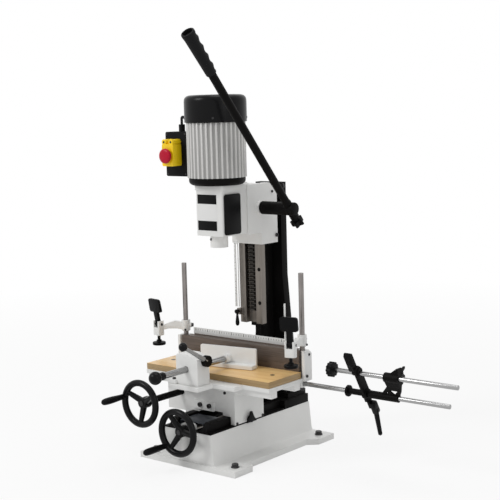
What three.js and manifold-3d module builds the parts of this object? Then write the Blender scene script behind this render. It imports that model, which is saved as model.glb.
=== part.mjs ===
// Bench mortising machine with a cross-slide table, a long feed lever and a side stop.
// Millimetres. +X is the operator's right, +Y is the back and +Z is up. Z = 0 is the bench top,
// X = 0 is the middle plane of the column and Y = 0 lies midway between the foot bolts.
import * as THREE from 'three';
import { mergeVertices } from 'three/addons/utils/BufferGeometryUtils.js';
import Module from 'manifold-3d';

const wasm = await Module();
wasm.setup();

// Driving dimensions
const FIT = 0.3; // gap between seated faces
const RUN = 0.4; // gap in a sliding or turning fit
const OVERRUN = 3; // how far a cutting tool runs past a face
const ROUND_SIDES = 22;
const SMALL_SIDES = 12;
const BALL_SIDES = 16;
const LEAD_SIDES = 8;
const LEAD_STEPS = 14;

const base = {
  tabReach: 190, flangeHalfWidth: 160, halfLength: 247, tabLength: 82, tabTaper: 25, flangeThickness: 18,
  bottomHalfWidth: 103, topHalfWidth: 94, filletTop: 26, topZ: 110, frontInset: 7, rearInset: 1, wall: 11,
  footSetback: 4, screwReach: 28, wheelReach: 40, guardInset: 24,
  slotHalfWidth: 23, slotRear: 62, slotFrontWall: 20, bossHalfWidth: 24, bossHeight: 22, ribThickness: 14,
  boltInsetX: 31.5, boltInsetY: 39.3, boltHole: 6.6,
};
base.front = base.frontInset - base.halfLength;
base.rear = base.halfLength - base.rearInset;
base.boltX = base.tabReach - base.boltInsetX;
base.boltY = base.halfLength - base.boltInsetY;
const footBolt = { shank: 6, shankLength: 30, washer: 12.4, washerThickness: 2.6, head: 10.4, headHeight: 8.5 };
const way = {
  plateThickness: 4, rear: 116, ridgeInner: 52, ridgeOuter: 77, ridgeHeight: 24, noseLength: 26, draft: 4,
};
const column = {
  webHalf: 8, webFront: 107, flangeFront: 178, flangeRear: 206, halfWidth: 50, topZ: 824, bendZ: 530,
  flareZ: 380, flareHalfWidth: 62, footHalfWidth: 84, footFront: 118, footRear: base.rear - base.footSetback,
  footHeight: 27, stepFront: 150, stepHeight: 16, holeY: 142, holeHalfWidth: 24, holeHalfHeight: 66, holeZ: 512,
  padHalfWidth: 24, padDepth: 14, padBottom: 372, hexHead: 8, hexHeight: 7, hexX: 62, hexInset: 20,
};
const ways = {
  halfWidth: 44, front: 79, rear: 100, neckHalfWidth: 30, bottom: 385, top: 780, grooveHalfWidth: 20,
  grooveDepth: 18,
};
const rack = { halfWidth: 10.5, bottom: 428, top: 772, moduleSize: 4 };
const pinion = { y: 57, z: 755, teeth: 14, halfWidth: 9, shaft: 9, left: -52, right: 92 };
const tooth = { pressure: 20, tipShare: 0.92, rootShare: 1.25, roomShare: 1.4, backlashShare: 0.1 };

const saddle = {
  left: -106, right: 94, front: -126.5, rear: 11.5, top: 217.7, keyTop: 236.8, keyFront: -111, keyRear: -29,
  wall: 14, frontWall: 13, roof: 18, frontArch: 20, lugHalfWidth: 16, lugFront: -52, lugRear: -28,
  padLeft: -66, padRight: 14, padBottom: 126, padTop: 174, padThickness: 4,
};
const gearbox = { left: -185, front: -118, rear: -20, bottom: 130, top: 212.5, cavityRadius: 32.5 };
const feed = {
  x: -128, z: 188.2, shaft: 10, front: -286, rear: -30, teeth: 22, moduleSize: 2.5, gearHalf: 8, gearY: -70,
};
const tableRack = { teeth: 34, firstTooth: 1, top: 236.8 };
const screw = {
  radius: 7, z: 113, front: base.front - base.screwReach, rear: 44, collar: 13, collarLength: 5,
};
const guard = { halfWidth: 46, front: base.front + base.guardInset, length: 80, z: 131.5, thickness: 2 };
guard.rear = guard.front + guard.length;
const lockLever = { y: -62, z: 121, hub: 9, length: 13, wing: 23, wingHeight: 7, stalk: 25, thickness: 6 };
const wheel = {
  rim: 63.3, rimRadius: 10, hub: 17, hubLength: 28, dish: 20, spokeWidth: 17, spokeThickness: 8,
  rimSteps: 30, rimSides: 8, spokes: 3,
};
const wheelX = { rimY: -302, gripAngle: 166, spokeAngle: 30 };
const wheelY = { rimY: base.front - base.wheelReach, gripAngle: 225, spokeAngle: 0 };
const grip = {
  baseRadius: 8.5, bulgeRadius: 10.5, endRadius: 10, length: 86, sides: 14,
  neckShare: 0.12, bulgeShare: 0.6, endShare: 0.92,
};

const table = {
  halfWidth: 246, rear: 50, front: -150, stepFront: -189, stepRight: 148, stepLeft: -134, tongueFront: -255,
  tongueRight: 64, tongueLeft: -54, top: 251, thickness: 13.5, railHeight: 19, railFront: -140, railRear: 0,
  railWidth: 28, bossLength: 50, bossHalf: 13, bossHeight: 15, boardInset: 1.5, boardFrontInset: 1,
  fenceInset: 10, bracketLap: 25, bracketWall: 10, bracketDrop: 8.5, postInset: 10.6, railSeat: 42,
};
table.bossLeft = table.halfWidth - table.bossLength;
const fence = {
  halfWidth: table.halfWidth - table.fenceInset, front: 8.4, thickness: 12, top: 335, flangeRear: 40,
  flangeThickness: 10, flangeInset: 2, ruleInsetLeft: 10, ruleInsetRight: 54, ruleThickness: 2, ruleTop: 357,
};
const board = {
  halfWidth: table.halfWidth - table.boardInset, front: table.front + table.boardFrontInset,
  rear: fence.front - RUN * 2, thickness: 19, z: table.top + FIT + RUN,
};
const bracket = {
  inner: table.halfWidth - table.bracketLap, split: table.halfWidth + RUN,
  outer: table.halfWidth + table.bracketWall, front: 11, blockFront: fence.front + fence.thickness + RUN,
  rear: 47, top: 333, sideBottom: table.top - table.bracketDrop, lobe: 9,
};
fence.flangeHalf = bracket.inner - fence.flangeInset;
fence.ruleLeft = fence.ruleInsetLeft - fence.flangeHalf;
fence.ruleRight = fence.flangeHalf - fence.ruleInsetRight;
const post = {
  x: table.halfWidth - table.postInset, y: 29, radius: 8, bottom: table.top + FIT * 2, top: 568, chamfer: 1.5,
};
const arm = {
  reach: 91, collar: 14, bottom: 347, top: 381, webHalf: 7, webDrop: 9, archRise: 6, forkBottom: 331,
  forkFloor: 357, forkTop: 378, forkDepth: 12, forkHalf: 17.4, gap: 10.2, bore: 5.4, pinZ: 367, pin: 3.2,
  clampBoss: 8, clampLength: 9, stripThickness: 2.5, stripFront: 2, stripRear: 10, stripTop: 488,
  archShares: [0.3, 0.6], topShares: [0.7, 0.4],
};
const cam = {
  stemHalf: 9.5, stemDepth: 4.5, paddleHalf: 28, paddleBottom: 408, paddleTop: 452, paddleDepth: 4, eye: 8.4,
  corner: 7, crank: 5, lean: 6,
};
const foot = {
  disc: 21.5, discTop: 308, discBottom: 299, edge: 1.5, neck: 8.5, neckTop: 315, stem: 5, stemTop: 358.2,
};
const holdDowns = [
  { side: 'left', sign: -1, swing: 211.6, pinTurn: -10, leverTilt: 3, strip: false },
  { side: 'right', sign: 1, swing: 284.7, pinTurn: 14.7, leverTilt: 0, strip: true },
];

const vise = {
  x: 8, z: 298, left: -31, right: 54, front: -243, rear: -189, top: 344, chamferWidth: 36.4, chamferDrop: 13,
  corner: 7,
  flangeLeft: -56, flangeFront: -252, flangeRear: -200, flangeHeight: 12,
};
const viseRod = {
  radius: 9.5, front: -338, rear: -68.5, dome: 0.8, domeRadius: 6, domeLength: 3, neck: 11.8, neckLength: 18,
  ball: 19.5, sunkShare: 0.86,
};
const viseLock = {
  left: vise.right + FIT, hubLength: 15.7, y: -210, z: 324, hub: 17, leverY: -311, leverZ: 384, tipRadius: 5,
  root: 8, ball: 13,
};
const jaw = {
  halfLength: 99.5, x: 6, yaw: 9, back: -48, thickness: 8, bottom: 272, top: 332.5, ledgeDepth: 26,
  ledgeHeight: 12, boss: 13, corner: 4,
};

const rail = { y: 20, z: 234, radius: 7, left: table.halfWidth - table.railSeat, length: 540 };
rail.right = rail.left + rail.length;
const collar = { left: 404, thickness: 7, radius: 17 };
const stop = {
  sleeve: 9, sleeveStep: 482, body: 11.5, right: 580, rodY: -20, rodZ: 302, webThickness: 5, hub: 14,
  webLeft: 528, shoulder: 27, shoulderLeft: 540, shoulderRight: 596, neck: 54, hubLeft: 560, hubRight: 606,
};
const stopWindows = [
  { left: 555, right: 585, base: 30, tip: 13.5, tipX: 570 },
  { left: 541, right: 558, base: 13.5, tip: 21, tipX: 549.5 },
  { left: 576, right: 583, base: 13.5, tip: 19, tipX: 582 },
];
const horn = { left: 572, shoulder: 601, foot: 310, top: 332, front: -27, rear: -6 };
const stopRod = {
  radius: 7, left: 370, right: 792, knob: 23, knobThickness: 16, knobLobes: 12, knobDepth: 1.6,
};
const stopArm = {
  x: 465.5, thickness: 8, halfWidth: 14, shoulder: 21, tongue: 8, down: 52, up: 100, ring: 15, ringLeft: 462,
  ringRight: 477, rodBoss: 12.5, rodBossLeft: 455, rodBossRight: 476, rodBossRise: 4, padLeft: 448,
  padRight: 468, padHalf: 8.5, padShift: -1.5, padFrom: 90, padTo: 152, padChamfer: 6,
};
const handle = {
  pivot: 42, pin: 4, hub: 9, cap: 2, blockFrom: 31, blockTo: 73, blockHalf: 10.3, blockThickness: 13, corner: 4,
  gripFrom: 60, gripLength: 86, tilt: 16.3, endRadius: 6.3, rootRadius: 8,
};
const wing = {
  x: 600, z: 315, hub: 7, hubLength: 8, reach: 23, tip: 6, span: 16, root: 5, notch: 10, thickness: 5,
};

const head = {
  halfWidth: 54.5, front: -108.6, shoulder: 2, bottom: 680, top: 832, corner: 9, carriageHalf: 60,
  carriageRear: 146, carriageBottom: 639, carriageTop: 828, topCut: 34, topRun: 35, stepY: 66, stepBottom: 676,
  cavityHalf: 40, cavityFront: -98, cavityRear: -30, cavityBottom: 702, cavityTop: 800, topBore: 31,
  collar: 27, collarBottom: 643, collarBore: 14, gearHalf: 13, lip: 2.5, lipHeight: 15, boss: 21,
  bossRight: 73.7,
};
const motor = {
  y: -65.5, length: 165, radius: 85.5, ribHeight: 4, ribs: 36, bore: 52, capLength: 82, cap: 94,
  capWall: 3.5, capRound: 18, capSides: 32, flangeBottom: head.top + FIT, flangeRadius: 72, flangeHeight: 22.4,
  bearing: 8.3, ribShares: [0, 0.3, 0.45, 0.85], flangeShares: [0.14, 0.46], capShares: [[0.3, 0.4], [1, 0.08]],
};
motor.bottom = motor.flangeBottom + motor.flangeHeight + FIT;
motor.top = motor.bottom + motor.length;
motor.capTop = motor.top + motor.capLength;
const chuck = { radius: 21, nose: 11, lift: 4, taper: 22, drop: 14, bore: 7, socketDepth: 18 };
chuck.bottom = head.cavityBottom + chuck.lift;
chuck.taperTop = chuck.bottom + chuck.taper;
chuck.top = head.cavityTop - chuck.drop;
const spindle = {
  shaft: 8, rotor: 45, rotorLift: 25, rotorDrop: 24, tipDrop: 26, bottom: chuck.top - chuck.socketDepth,
};
spindle.rotorBottom = motor.bottom + spindle.rotorLift;
spindle.rotorTop = motor.top - spindle.rotorDrop;
spindle.top = motor.capTop - spindle.tipDrop;
const fan = { hub: 15, bladeReach: 74, lift: 10, height: 24, blades: 6, bladeThickness: 3, plate: 3 };
fan.bottom = motor.top + fan.lift;
const cover = { lap: 6, bottomLap: 18, thickness: 5, corner: 7 };
cover.front = head.cavityFront - cover.lap;
cover.rear = head.cavityRear;
cover.bottom = head.cavityBottom - cover.bottomLap;
cover.top = head.cavityTop + cover.lap;
const hub = { left: head.bossRight + FIT, right: 200, radius: 20, round: 4 };
const lever = { x: 179, tilt: 40.3, bar: 12, up: 551, down: 38, boss: 14, bossTop: 32 };
const leverGrip = {
  from: 527, to: 671, rootRadius: 15.5, middleRadius: 17, radius: 18.5, endRadius: 20, wall: 4, mouth: 10,
  middle: 590, shoulder: 650, ridges: 4, ridgeFirst: 551, ridgeStep: 31, ridgeHalf: 13, ridge: 4, sides: 16,
};
const leverKnob = { neck: 10, hub: 13, lobe: 8, lobes: 5, from: 46, to: 64 };
const scale = {
  left: -54, right: -38, front: 66, thickness: 2.4, bottom: 436, slotX: -44, slotHalf: 3.4, slotTop: 636,
};
const stopBlock = { left: -51, right: -37, front: 69, rear: 96, bottom: 410, top: 430 };
const depthLock = { x: -44, z: 421, boss: 7, front: 62, tip: 382, tipRadius: 6.2, stem: 2.6, tearX: -41 };
const box = {
  width: 87.1, gap: 0.4, front: -100, rear: -52, lift: 2, height: 136, corner: 5, gland: 10, glandInset: 49,
  glandHeight: 22,
};
box.right = -motor.radius - motor.ribHeight - box.gap;
box.left = box.right - box.width;
box.bottom = motor.bottom + box.lift;
box.top = box.bottom + box.height;
box.glandX = box.left + box.glandInset;
const housing = {
  insetLeft: 20, width: 46, lift: 33, height: 67, depth: 38, corner: 4, ear: 9, earX: 14, earRise: 6,
};
housing.left = box.left + housing.insetLeft;
housing.right = housing.left + housing.width;
housing.bottom = box.bottom + housing.lift;
housing.top = housing.bottom + housing.height;
const button = {
  lift: 31.5, radius: 22.5, stem: 13, stemDepth: 12, depth: 18, dome: 7, domeShares: [0.75, 0.3],
};
button.z = housing.bottom + button.lift;
const lead = { radius: 4, run: 14, leaves: 158 };

const TAU = Math.PI * 2;
const HALF = 0.5;
const MERGE = 1e-4; // vertices closer than this are one
const rad = (degrees) => (degrees * Math.PI) / 180;

// Solids
function solid(geometry) {
  const clean = geometry.clone();
  for (const name of Object.keys(clean.attributes)) {
    if (name !== 'position') clean.deleteAttribute(name);
  }
  const merged = mergeVertices(clean, MERGE);
  return new wasm.Manifold(new wasm.Mesh({
    numProp: 3,
    vertProperties: Float32Array.from(merged.attributes.position.array),
    triVerts: Uint32Array.from(merged.index.array),
  }));
}

function unite(...parts) {
  return parts.reduce((whole, part) => whole.add(part));
}

function geometryOf(body) {
  const mesh = body.getMesh();
  const geometry = new THREE.BufferGeometry();
  geometry.setAttribute('position', new THREE.BufferAttribute(Float32Array.from(mesh.vertProperties), 3));
  geometry.setIndex(new THREE.BufferAttribute(Uint32Array.from(mesh.triVerts), 1));
  geometry.computeVertexNormals();
  return geometry;
}

function block(x0, x1, y0, y1, z0, z1) {
  const geometry = new THREE.BoxGeometry(x1 - x0, y1 - y0, z1 - z0);
  geometry.translate((x0 + x1) * HALF, (y0 + y1) * HALF, (z0 + z1) * HALF);
  return solid(geometry);
}

function outline(points) {
  return new THREE.Shape(points.map(([a, b]) => new THREE.Vector2(a, b)));
}

// A flat outline in X and Y, raised from z0 to z1.
function slabZ(points, z0, z1) {
  const geometry = new THREE.ExtrudeGeometry(outline(points), { depth: z1 - z0, bevelEnabled: false });
  geometry.translate(0, 0, z0);
  return solid(geometry);
}

// A flat outline in Y and Z, carried from x0 to x1.
function slabX(points, x0, x1) {
  const geometry = new THREE.ExtrudeGeometry(outline(points), { depth: x1 - x0, bevelEnabled: false });
  geometry.applyMatrix4(new THREE.Matrix4().makeBasis(
    new THREE.Vector3(0, 1, 0), new THREE.Vector3(0, 0, 1), new THREE.Vector3(1, 0, 0)));
  geometry.translate(x0, 0, 0);
  return solid(geometry);
}

// A flat outline in X and Z, carried from y0 to y1.
function slabY(points, y0, y1) {
  const geometry = new THREE.ExtrudeGeometry(outline(points.map(([x, z]) => [z, x])), {
    depth: y1 - y0, bevelEnabled: false,
  });
  geometry.applyMatrix4(new THREE.Matrix4().makeBasis(
    new THREE.Vector3(0, 0, 1), new THREE.Vector3(1, 0, 0), new THREE.Vector3(0, 1, 0)));
  geometry.translate(0, y0, 0);
  return solid(geometry);
}

// A turned shape: profile points are [radius, distance along the axis] from the origin.
function turned(profile, axis = 'z', sides = ROUND_SIDES) {
  const geometry = new THREE.LatheGeometry(profile.map(([r, h]) => new THREE.Vector2(r, h)), sides);
  if (axis === 'z') geometry.rotateX(Math.PI * HALF);
  if (axis === 'x') geometry.rotateZ(-Math.PI * HALF);
  return solid(geometry);
}

function rod(radius, from, to, axis = 'z', sides = ROUND_SIDES) {
  return turned([[0, from], [radius, from], [radius, to], [0, to]], axis, sides);
}

function ball(radius, middle, sides = BALL_SIDES) {
  const profile = [];
  const steps = sides * HALF;
  for (let i = 0; i <= steps; i += 1) {
    const angle = Math.PI * (i / steps - HALF);
    profile.push([i % steps ? radius * Math.cos(angle) : 0, radius * Math.sin(angle)]);
  }
  return turned(profile, 'z', sides).translate(middle);
}

function shiftX(body, x) {
  return body.translate([x, 0, 0]);
}

function at(body, x, y, z) {
  return body.translate([x, y, z]);
}

function roundedRect(x0, x1, y0, y1, radius, steps = 3) {
  const points = [];
  const corners = [[x1 - radius, y0 + radius, -90], [x1 - radius, y1 - radius, 0],
    [x0 + radius, y1 - radius, 90], [x0 + radius, y0 + radius, 180]];
  for (const [cx, cy, start] of corners) {
    for (let i = 0; i <= steps; i += 1) {
      const angle = rad(start + (90 * i) / steps);
      points.push([cx + radius * Math.cos(angle), cy + radius * Math.sin(angle)]);
    }
  }
  return points;
}

function circle(cx, cy, rx, ry, sides) {
  return Array.from({ length: sides }, (unused, i) => {
    const angle = (TAU * i) / sides;
    return [cx + rx * Math.cos(angle), cy + ry * Math.sin(angle)];
  });
}

// Involute gear outline round the origin. One tooth space faces the rack, at startAngle.
function gearOutline(module, teeth, startAngle) {
  const pressure = rad(tooth.pressure);
  const pitch = module * teeth * HALF;
  const root = pitch - tooth.rootShare * module;
  const tip = pitch + tooth.tipShare * module;
  const baseCircle = pitch * Math.cos(pressure);
  const involute = (r) => {
    const a = Math.acos(Math.min(1, baseCircle / r));
    return Math.tan(a) - a;
  };
  const halfThickness = (Math.PI / teeth) * HALF * (1 - tooth.backlashShare);
  const flank = [Math.max(root, baseCircle), pitch, tip];
  const points = [];
  for (let i = 0; i < teeth; i += 1) {
    const middle = startAngle + ((i + HALF) * TAU) / teeth;
    const halfAt = (r) => halfThickness + involute(pitch) - involute(r);
    points.push([root, middle - halfAt(flank[0])]);
    flank.forEach((r) => points.push([r, middle - halfAt(r)]));
    [...flank].reverse().forEach((r) => points.push([r, middle + halfAt(r)]));
    points.push([root, middle + halfAt(flank[0])]);
  }
  return points.map(([r, a]) => [r * Math.cos(a), r * Math.sin(a)]);
}

// Rack tooth outline along the first axis; teeth rise along the second, a tooth sits at 0.
function rackOutline(module, teeth, firstTooth, back) {
  const slope = Math.tan(rad(tooth.pressure));
  const pitch = Math.PI * module;
  const half = pitch * HALF * HALF * (1 - tooth.backlashShare);
  const tip = tooth.tipShare * module;
  const root = -tooth.rootShare * module;
  const points = [[(firstTooth - HALF) * pitch, back]];
  for (let i = 0; i < teeth; i += 1) {
    const middle = (firstTooth + i) * pitch;
    points.push([middle - half + root * slope, root], [middle - half + tip * slope, tip]);
    points.push([middle + half - tip * slope, tip], [middle + half - root * slope, root]);
  }
  points.push([(firstTooth + teeth - HALF) * pitch, back]);
  return points.reverse();
}

// Finishes
const finish = {
  whitePaint: [0xe9eae6, 0.42, 0.0], blackPaint: [0x17181a, 0.5, 0.0], blackGloss: [0x0c0d0e, 0.22, 0.0],
  groundSteel: [0x8d8883, 0.42, 0.9], fenceSteel: [0x6d625a, 0.45, 0.85], chrome: [0xb9bbbe, 0.16, 1.0],
  castAluminium: [0xc9cacb, 0.45, 0.35], wood: [0xd2a063, 0.55, 0.0], blackPlastic: [0x161718, 0.45, 0.0],
  yellowPlastic: [0xf0c713, 0.4, 0.0], redPlastic: [0xc01f33, 0.35, 0.0], rubber: [0x242526, 0.85, 0.0],
  zinc: [0x54575b, 0.4, 0.85],
};
const group = new THREE.Group();
function place(name, body, kind, parent = group) {
  const [color, roughness, metalness] = finish[kind];
  const material = new THREE.MeshStandardMaterial({ color, roughness, metalness });
  const mesh = new THREE.Mesh(geometryOf(body), material);
  mesh.name = name;
  parent.add(mesh);
  return mesh;
}

// Base casting
function baseCasting() {
  const tabEnd = base.halfLength - base.tabLength;
  const quarter = [[base.tabReach, base.halfLength], [base.tabReach, tabEnd],
    [base.flangeHalfWidth, tabEnd - base.tabTaper]];
  const right = [...quarter.map(([x, y]) => [x, -y]), ...[...quarter].reverse()];
  const left = [...right].reverse().map(([x, y]) => [-x, y]);
  const flange = slabZ([...right, ...left], 0, base.flangeThickness);
  const section = (bottom, top, z0, z1) => [[-bottom, z0], [bottom, z0], [top, z1], [-top, z1]];
  const skirt = slabY(section(base.bottomHalfWidth + base.flangeThickness * HALF, base.bottomHalfWidth,
    base.flangeThickness * HALF, base.filletTop), base.front, base.rear);
  const body = slabY(section(base.bottomHalfWidth, base.topHalfWidth, base.filletTop, base.topZ),
    base.front, base.rear);
  const boss = slabY(roundedRect(-base.bossHalfWidth, base.bossHalfWidth, base.topZ - base.bossHeight,
    base.topZ + base.bossHeight, base.wall), base.front, base.front + base.slotFrontWall);
  const inner = slabY(section(base.bottomHalfWidth - base.wall, base.topHalfWidth - base.wall, -OVERRUN,
    base.topZ - base.wall), base.front + base.slotFrontWall, base.rear - base.wall);
  const rib = block(-base.topHalfWidth, base.topHalfWidth, -base.ribThickness, base.ribThickness, 0,
    base.topZ - base.bossHeight * 2);
  const slot = block(-base.slotHalfWidth, base.slotHalfWidth, base.front + base.slotFrontWall, base.slotRear,
    base.topZ - base.wall - OVERRUN, base.topZ + base.bossHeight + OVERRUN);
  const bearing = at(rod(screw.radius + RUN, base.front - OVERRUN, base.rear, 'y'), 0, 0, screw.z);
  let whole = unite(flange, skirt, body, boss).subtract(inner).add(rib).subtract(slot).subtract(bearing);
  for (const sx of [-1, 1]) {
    for (const sy of [-1, 1]) {
      whole = whole.subtract(at(rod(base.boltHole, -OVERRUN, base.flangeThickness + OVERRUN, 'z', SMALL_SIDES),
        sx * base.boltX, sy * base.boltY, 0));
    }
  }
  return whole;
}

function footBoltBody() {
  const seat = base.flangeThickness + FIT;
  const shank = rod(footBolt.shank, seat - footBolt.shankLength * HALF, seat + footBolt.washerThickness, 'z',
    SMALL_SIDES);
  const washer = rod(footBolt.washer, seat, seat + footBolt.washerThickness, 'z', SMALL_SIDES);
  const top = seat + footBolt.washerThickness;
  return unite(shank, washer, rod(footBolt.head, top, top + footBolt.headHeight, 'z', 6));
}

function baseWay() {
  const floor = base.topZ + FIT;
  const top = floor + way.plateThickness;
  let whole = block(-base.topHalfWidth, base.topHalfWidth, base.front, way.rear, floor, top);
  const ridgeTop = top + way.ridgeHeight;
  const side = [[base.front, floor], [way.rear, floor], [way.rear, ridgeTop],
    [base.front + way.noseLength, ridgeTop], [base.front, top]];
  for (const sign of [-1, 1]) {
    const [a, b] = sign < 0 ? [-way.ridgeOuter, -way.ridgeInner] : [way.ridgeInner, way.ridgeOuter];
    const flank = slabY([[a + (sign > 0 ? 0 : way.draft), floor], [b - (sign > 0 ? way.draft : 0), floor],
      [b, ridgeTop], [a, ridgeTop]], base.front, way.rear);
    whole = whole.add(slabX(side, a, b).intersect(flank));
  }
  const hole = block(-base.bossHalfWidth - FIT, base.bossHalfWidth + FIT, base.front - OVERRUN, base.slotRear,
    floor - OVERRUN, ridgeTop);
  return whole.subtract(hole);
}

function leadscrewGuard() {
  const top = guard.z + guard.thickness;
  const floor = base.topZ + FIT + way.plateThickness + FIT;
  const plate = block(-guard.halfWidth, guard.halfWidth, guard.front, guard.rear, guard.z, top);
  const legs = [-1, 1].map((s) => {
    const [a, b] = s < 0 ? [-guard.halfWidth, -guard.halfWidth + guard.thickness]
      : [guard.halfWidth - guard.thickness, guard.halfWidth];
    return block(a, b, guard.front, guard.rear, floor, top);
  });
  return unite(plate, ...legs);
}

// Column
function columnBody() {
  const floor = base.topZ + FIT;
  const footTop = floor + column.footHeight;
  const half = [[column.footHalfWidth, footTop], [column.flareHalfWidth, column.flareZ],
    [column.halfWidth, column.bendZ], [column.halfWidth, column.topZ]];
  const flangeOutline = [...half, ...[...half].reverse().map(([x, z]) => [-x, z])];
  const flange = slabY(flangeOutline, column.flangeFront, column.flangeRear);
  const web = slabX([[column.footFront, footTop - OVERRUN], [column.flangeFront + OVERRUN, footTop - OVERRUN],
    [column.flangeFront + OVERRUN, column.topZ], [column.webFront, column.topZ],
    [column.webFront, footTop + column.stepHeight]], -column.webHalf, column.webHalf);
  const pad = block(-column.padHalfWidth, column.padHalfWidth, column.webFront,
    column.webFront + column.padDepth, column.padBottom, column.topZ);
  const window = slabX(circle(column.holeY, column.holeZ, column.holeHalfWidth, column.holeHalfHeight,
    ROUND_SIDES), -column.halfWidth, column.halfWidth);
  const foot = block(-base.topHalfWidth, base.topHalfWidth, column.footFront, column.footRear, floor, footTop);
  const step = block(-column.footHalfWidth, column.footHalfWidth, column.stepFront, column.footRear,
    footTop - OVERRUN, footTop + column.stepHeight);
  let whole = unite(web.subtract(window), pad.subtract(window), flange, foot, step);
  for (const x of [-column.hexX, column.hexX]) {
    const hex = rod(column.hexHead, footTop, footTop + column.stepHeight + column.hexHeight, 'z', 6);
    whole = whole.add(at(hex, x, column.stepFront + column.hexInset * HALF, 0));
  }
  return whole;
}

function columnWay() {
  const face = block(-ways.halfWidth, ways.halfWidth, ways.front, ways.rear, ways.bottom, ways.top);
  const neck = block(-ways.neckHalfWidth, ways.neckHalfWidth, ways.rear - OVERRUN, column.webFront - FIT,
    ways.bottom, ways.top);
  const groove = block(-ways.grooveHalfWidth, ways.grooveHalfWidth, ways.front - OVERRUN,
    ways.front + ways.grooveDepth, ways.bottom - OVERRUN, ways.top + OVERRUN);
  return unite(face, neck).subtract(groove);
}

const pinionPitch = rack.moduleSize * pinion.teeth * HALF;
const rackPitchY = pinion.y + pinionPitch + FIT * HALF;
function columnRack() {
  const back = ways.front + ways.grooveDepth - FIT - rackPitchY;
  const pitch = Math.PI * rack.moduleSize;
  const first = Math.ceil((rack.bottom - pinion.z) / pitch);
  const count = Math.floor((rack.top - pinion.z) / pitch) - first;
  const points = rackOutline(rack.moduleSize, count, first, -back);
  return slabX(points.map(([z, y]) => [rackPitchY - y, pinion.z + z]), -rack.halfWidth, rack.halfWidth);
}

function stopBlockBody() {
  return block(stopBlock.left, stopBlock.right, stopBlock.front, stopBlock.rear, stopBlock.bottom,
    stopBlock.top);
}

function depthLockBody() {
  const stem = at(rod(depthLock.stem, depthLock.front, stopBlock.front - FIT, 'y', SMALL_SIDES), depthLock.x, 0,
    depthLock.z);
  const boss = at(rod(depthLock.boss, depthLock.front - depthLock.boss, scale.front - RUN, 'y', SMALL_SIDES),
    depthLock.x, 0, depthLock.z);
  const tear = turned([[0, depthLock.tip - depthLock.tipRadius], [depthLock.tipRadius * HALF, depthLock.tip
    - depthLock.tipRadius * HALF], [depthLock.tipRadius, depthLock.tip + depthLock.tipRadius],
  [depthLock.stem, depthLock.z], [0, depthLock.z]], 'z', SMALL_SIDES);
  return unite(stem, boss, at(tear, depthLock.tearX, depthLock.front - depthLock.boss * HALF, 0));
}

// Saddle
function saddleBody() {
  const floor = base.topZ + FIT + way.plateThickness + FIT;
  const ridgeTop = base.topZ + FIT + way.plateThickness + way.ridgeHeight;
  const shell = block(saddle.left, saddle.right, saddle.front, saddle.rear, floor, saddle.top);
  const key = block(saddle.left, saddle.right, saddle.keyFront, saddle.keyRear, saddle.top - OVERRUN,
    saddle.keyTop);
  const cavity = block(saddle.left + saddle.wall + FIT, way.ridgeInner, saddle.front + saddle.frontWall,
    saddle.rear + OVERRUN, floor - OVERRUN, saddle.top - saddle.roof);
  const cavityRight = block(-way.ridgeInner, saddle.right - saddle.wall, saddle.front + saddle.frontWall,
    saddle.rear + OVERRUN, floor - OVERRUN, saddle.top - saddle.roof);
  const path = block(-way.ridgeOuter - RUN, way.ridgeOuter + RUN, saddle.front - OVERRUN,
    saddle.rear + OVERRUN, floor - OVERRUN, ridgeTop + RUN);
  const arch = block(-guard.halfWidth, guard.halfWidth, saddle.front - OVERRUN, saddle.front + saddle.frontWall
    + OVERRUN, ridgeTop, ridgeTop + saddle.frontArch * HALF);
  const lug = block(-saddle.lugHalfWidth, saddle.lugHalfWidth, saddle.lugFront, saddle.lugRear,
    screw.z - saddle.lugHalfWidth, saddle.top - saddle.roof + OVERRUN);
  const nut = at(rod(screw.radius + RUN, saddle.lugFront - OVERRUN, saddle.lugRear + OVERRUN, 'y'), 0, 0,
    screw.z);
  const pad = block(saddle.padLeft, saddle.padRight, saddle.front - saddle.padThickness,
    saddle.front + OVERRUN, saddle.padBottom + saddle.frontArch, saddle.padTop);
  const rackGroove = block(saddle.left - OVERRUN, saddle.right + OVERRUN, feed.gearY - feed.gearHalf
    - saddle.padThickness, feed.gearY + feed.gearHalf + saddle.padThickness, gearbox.top - saddle.padThickness,
  saddle.keyTop + OVERRUN);
  const housingBlock = block(gearbox.left, saddle.left + OVERRUN, gearbox.front, gearbox.rear,
    gearbox.bottom, gearbox.top);
  const gearRoom = at(rod(gearbox.cavityRadius, feed.gearY - feed.gearHalf - RUN * 2,
    feed.gearY + feed.gearHalf + RUN * 2, 'y'), feed.x, 0, feed.z);
  const gearMouth = block(feed.x - gearbox.cavityRadius, feed.x + gearbox.cavityRadius,
    feed.gearY - feed.gearHalf - RUN * 2, feed.gearY + feed.gearHalf + RUN * 2, feed.z,
    saddle.keyTop + OVERRUN);
  const shaftBore = at(rod(feed.shaft + RUN, gearbox.front - OVERRUN, gearbox.rear + OVERRUN, 'y'), feed.x, 0,
    feed.z);
  return unite(shell, key).subtract(cavity).subtract(cavityRight).subtract(path).subtract(arch)
    .add(lug).subtract(nut).add(pad).add(housingBlock)
    .subtract(rackGroove).subtract(gearRoom).subtract(gearMouth).subtract(shaftBore);
}

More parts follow.
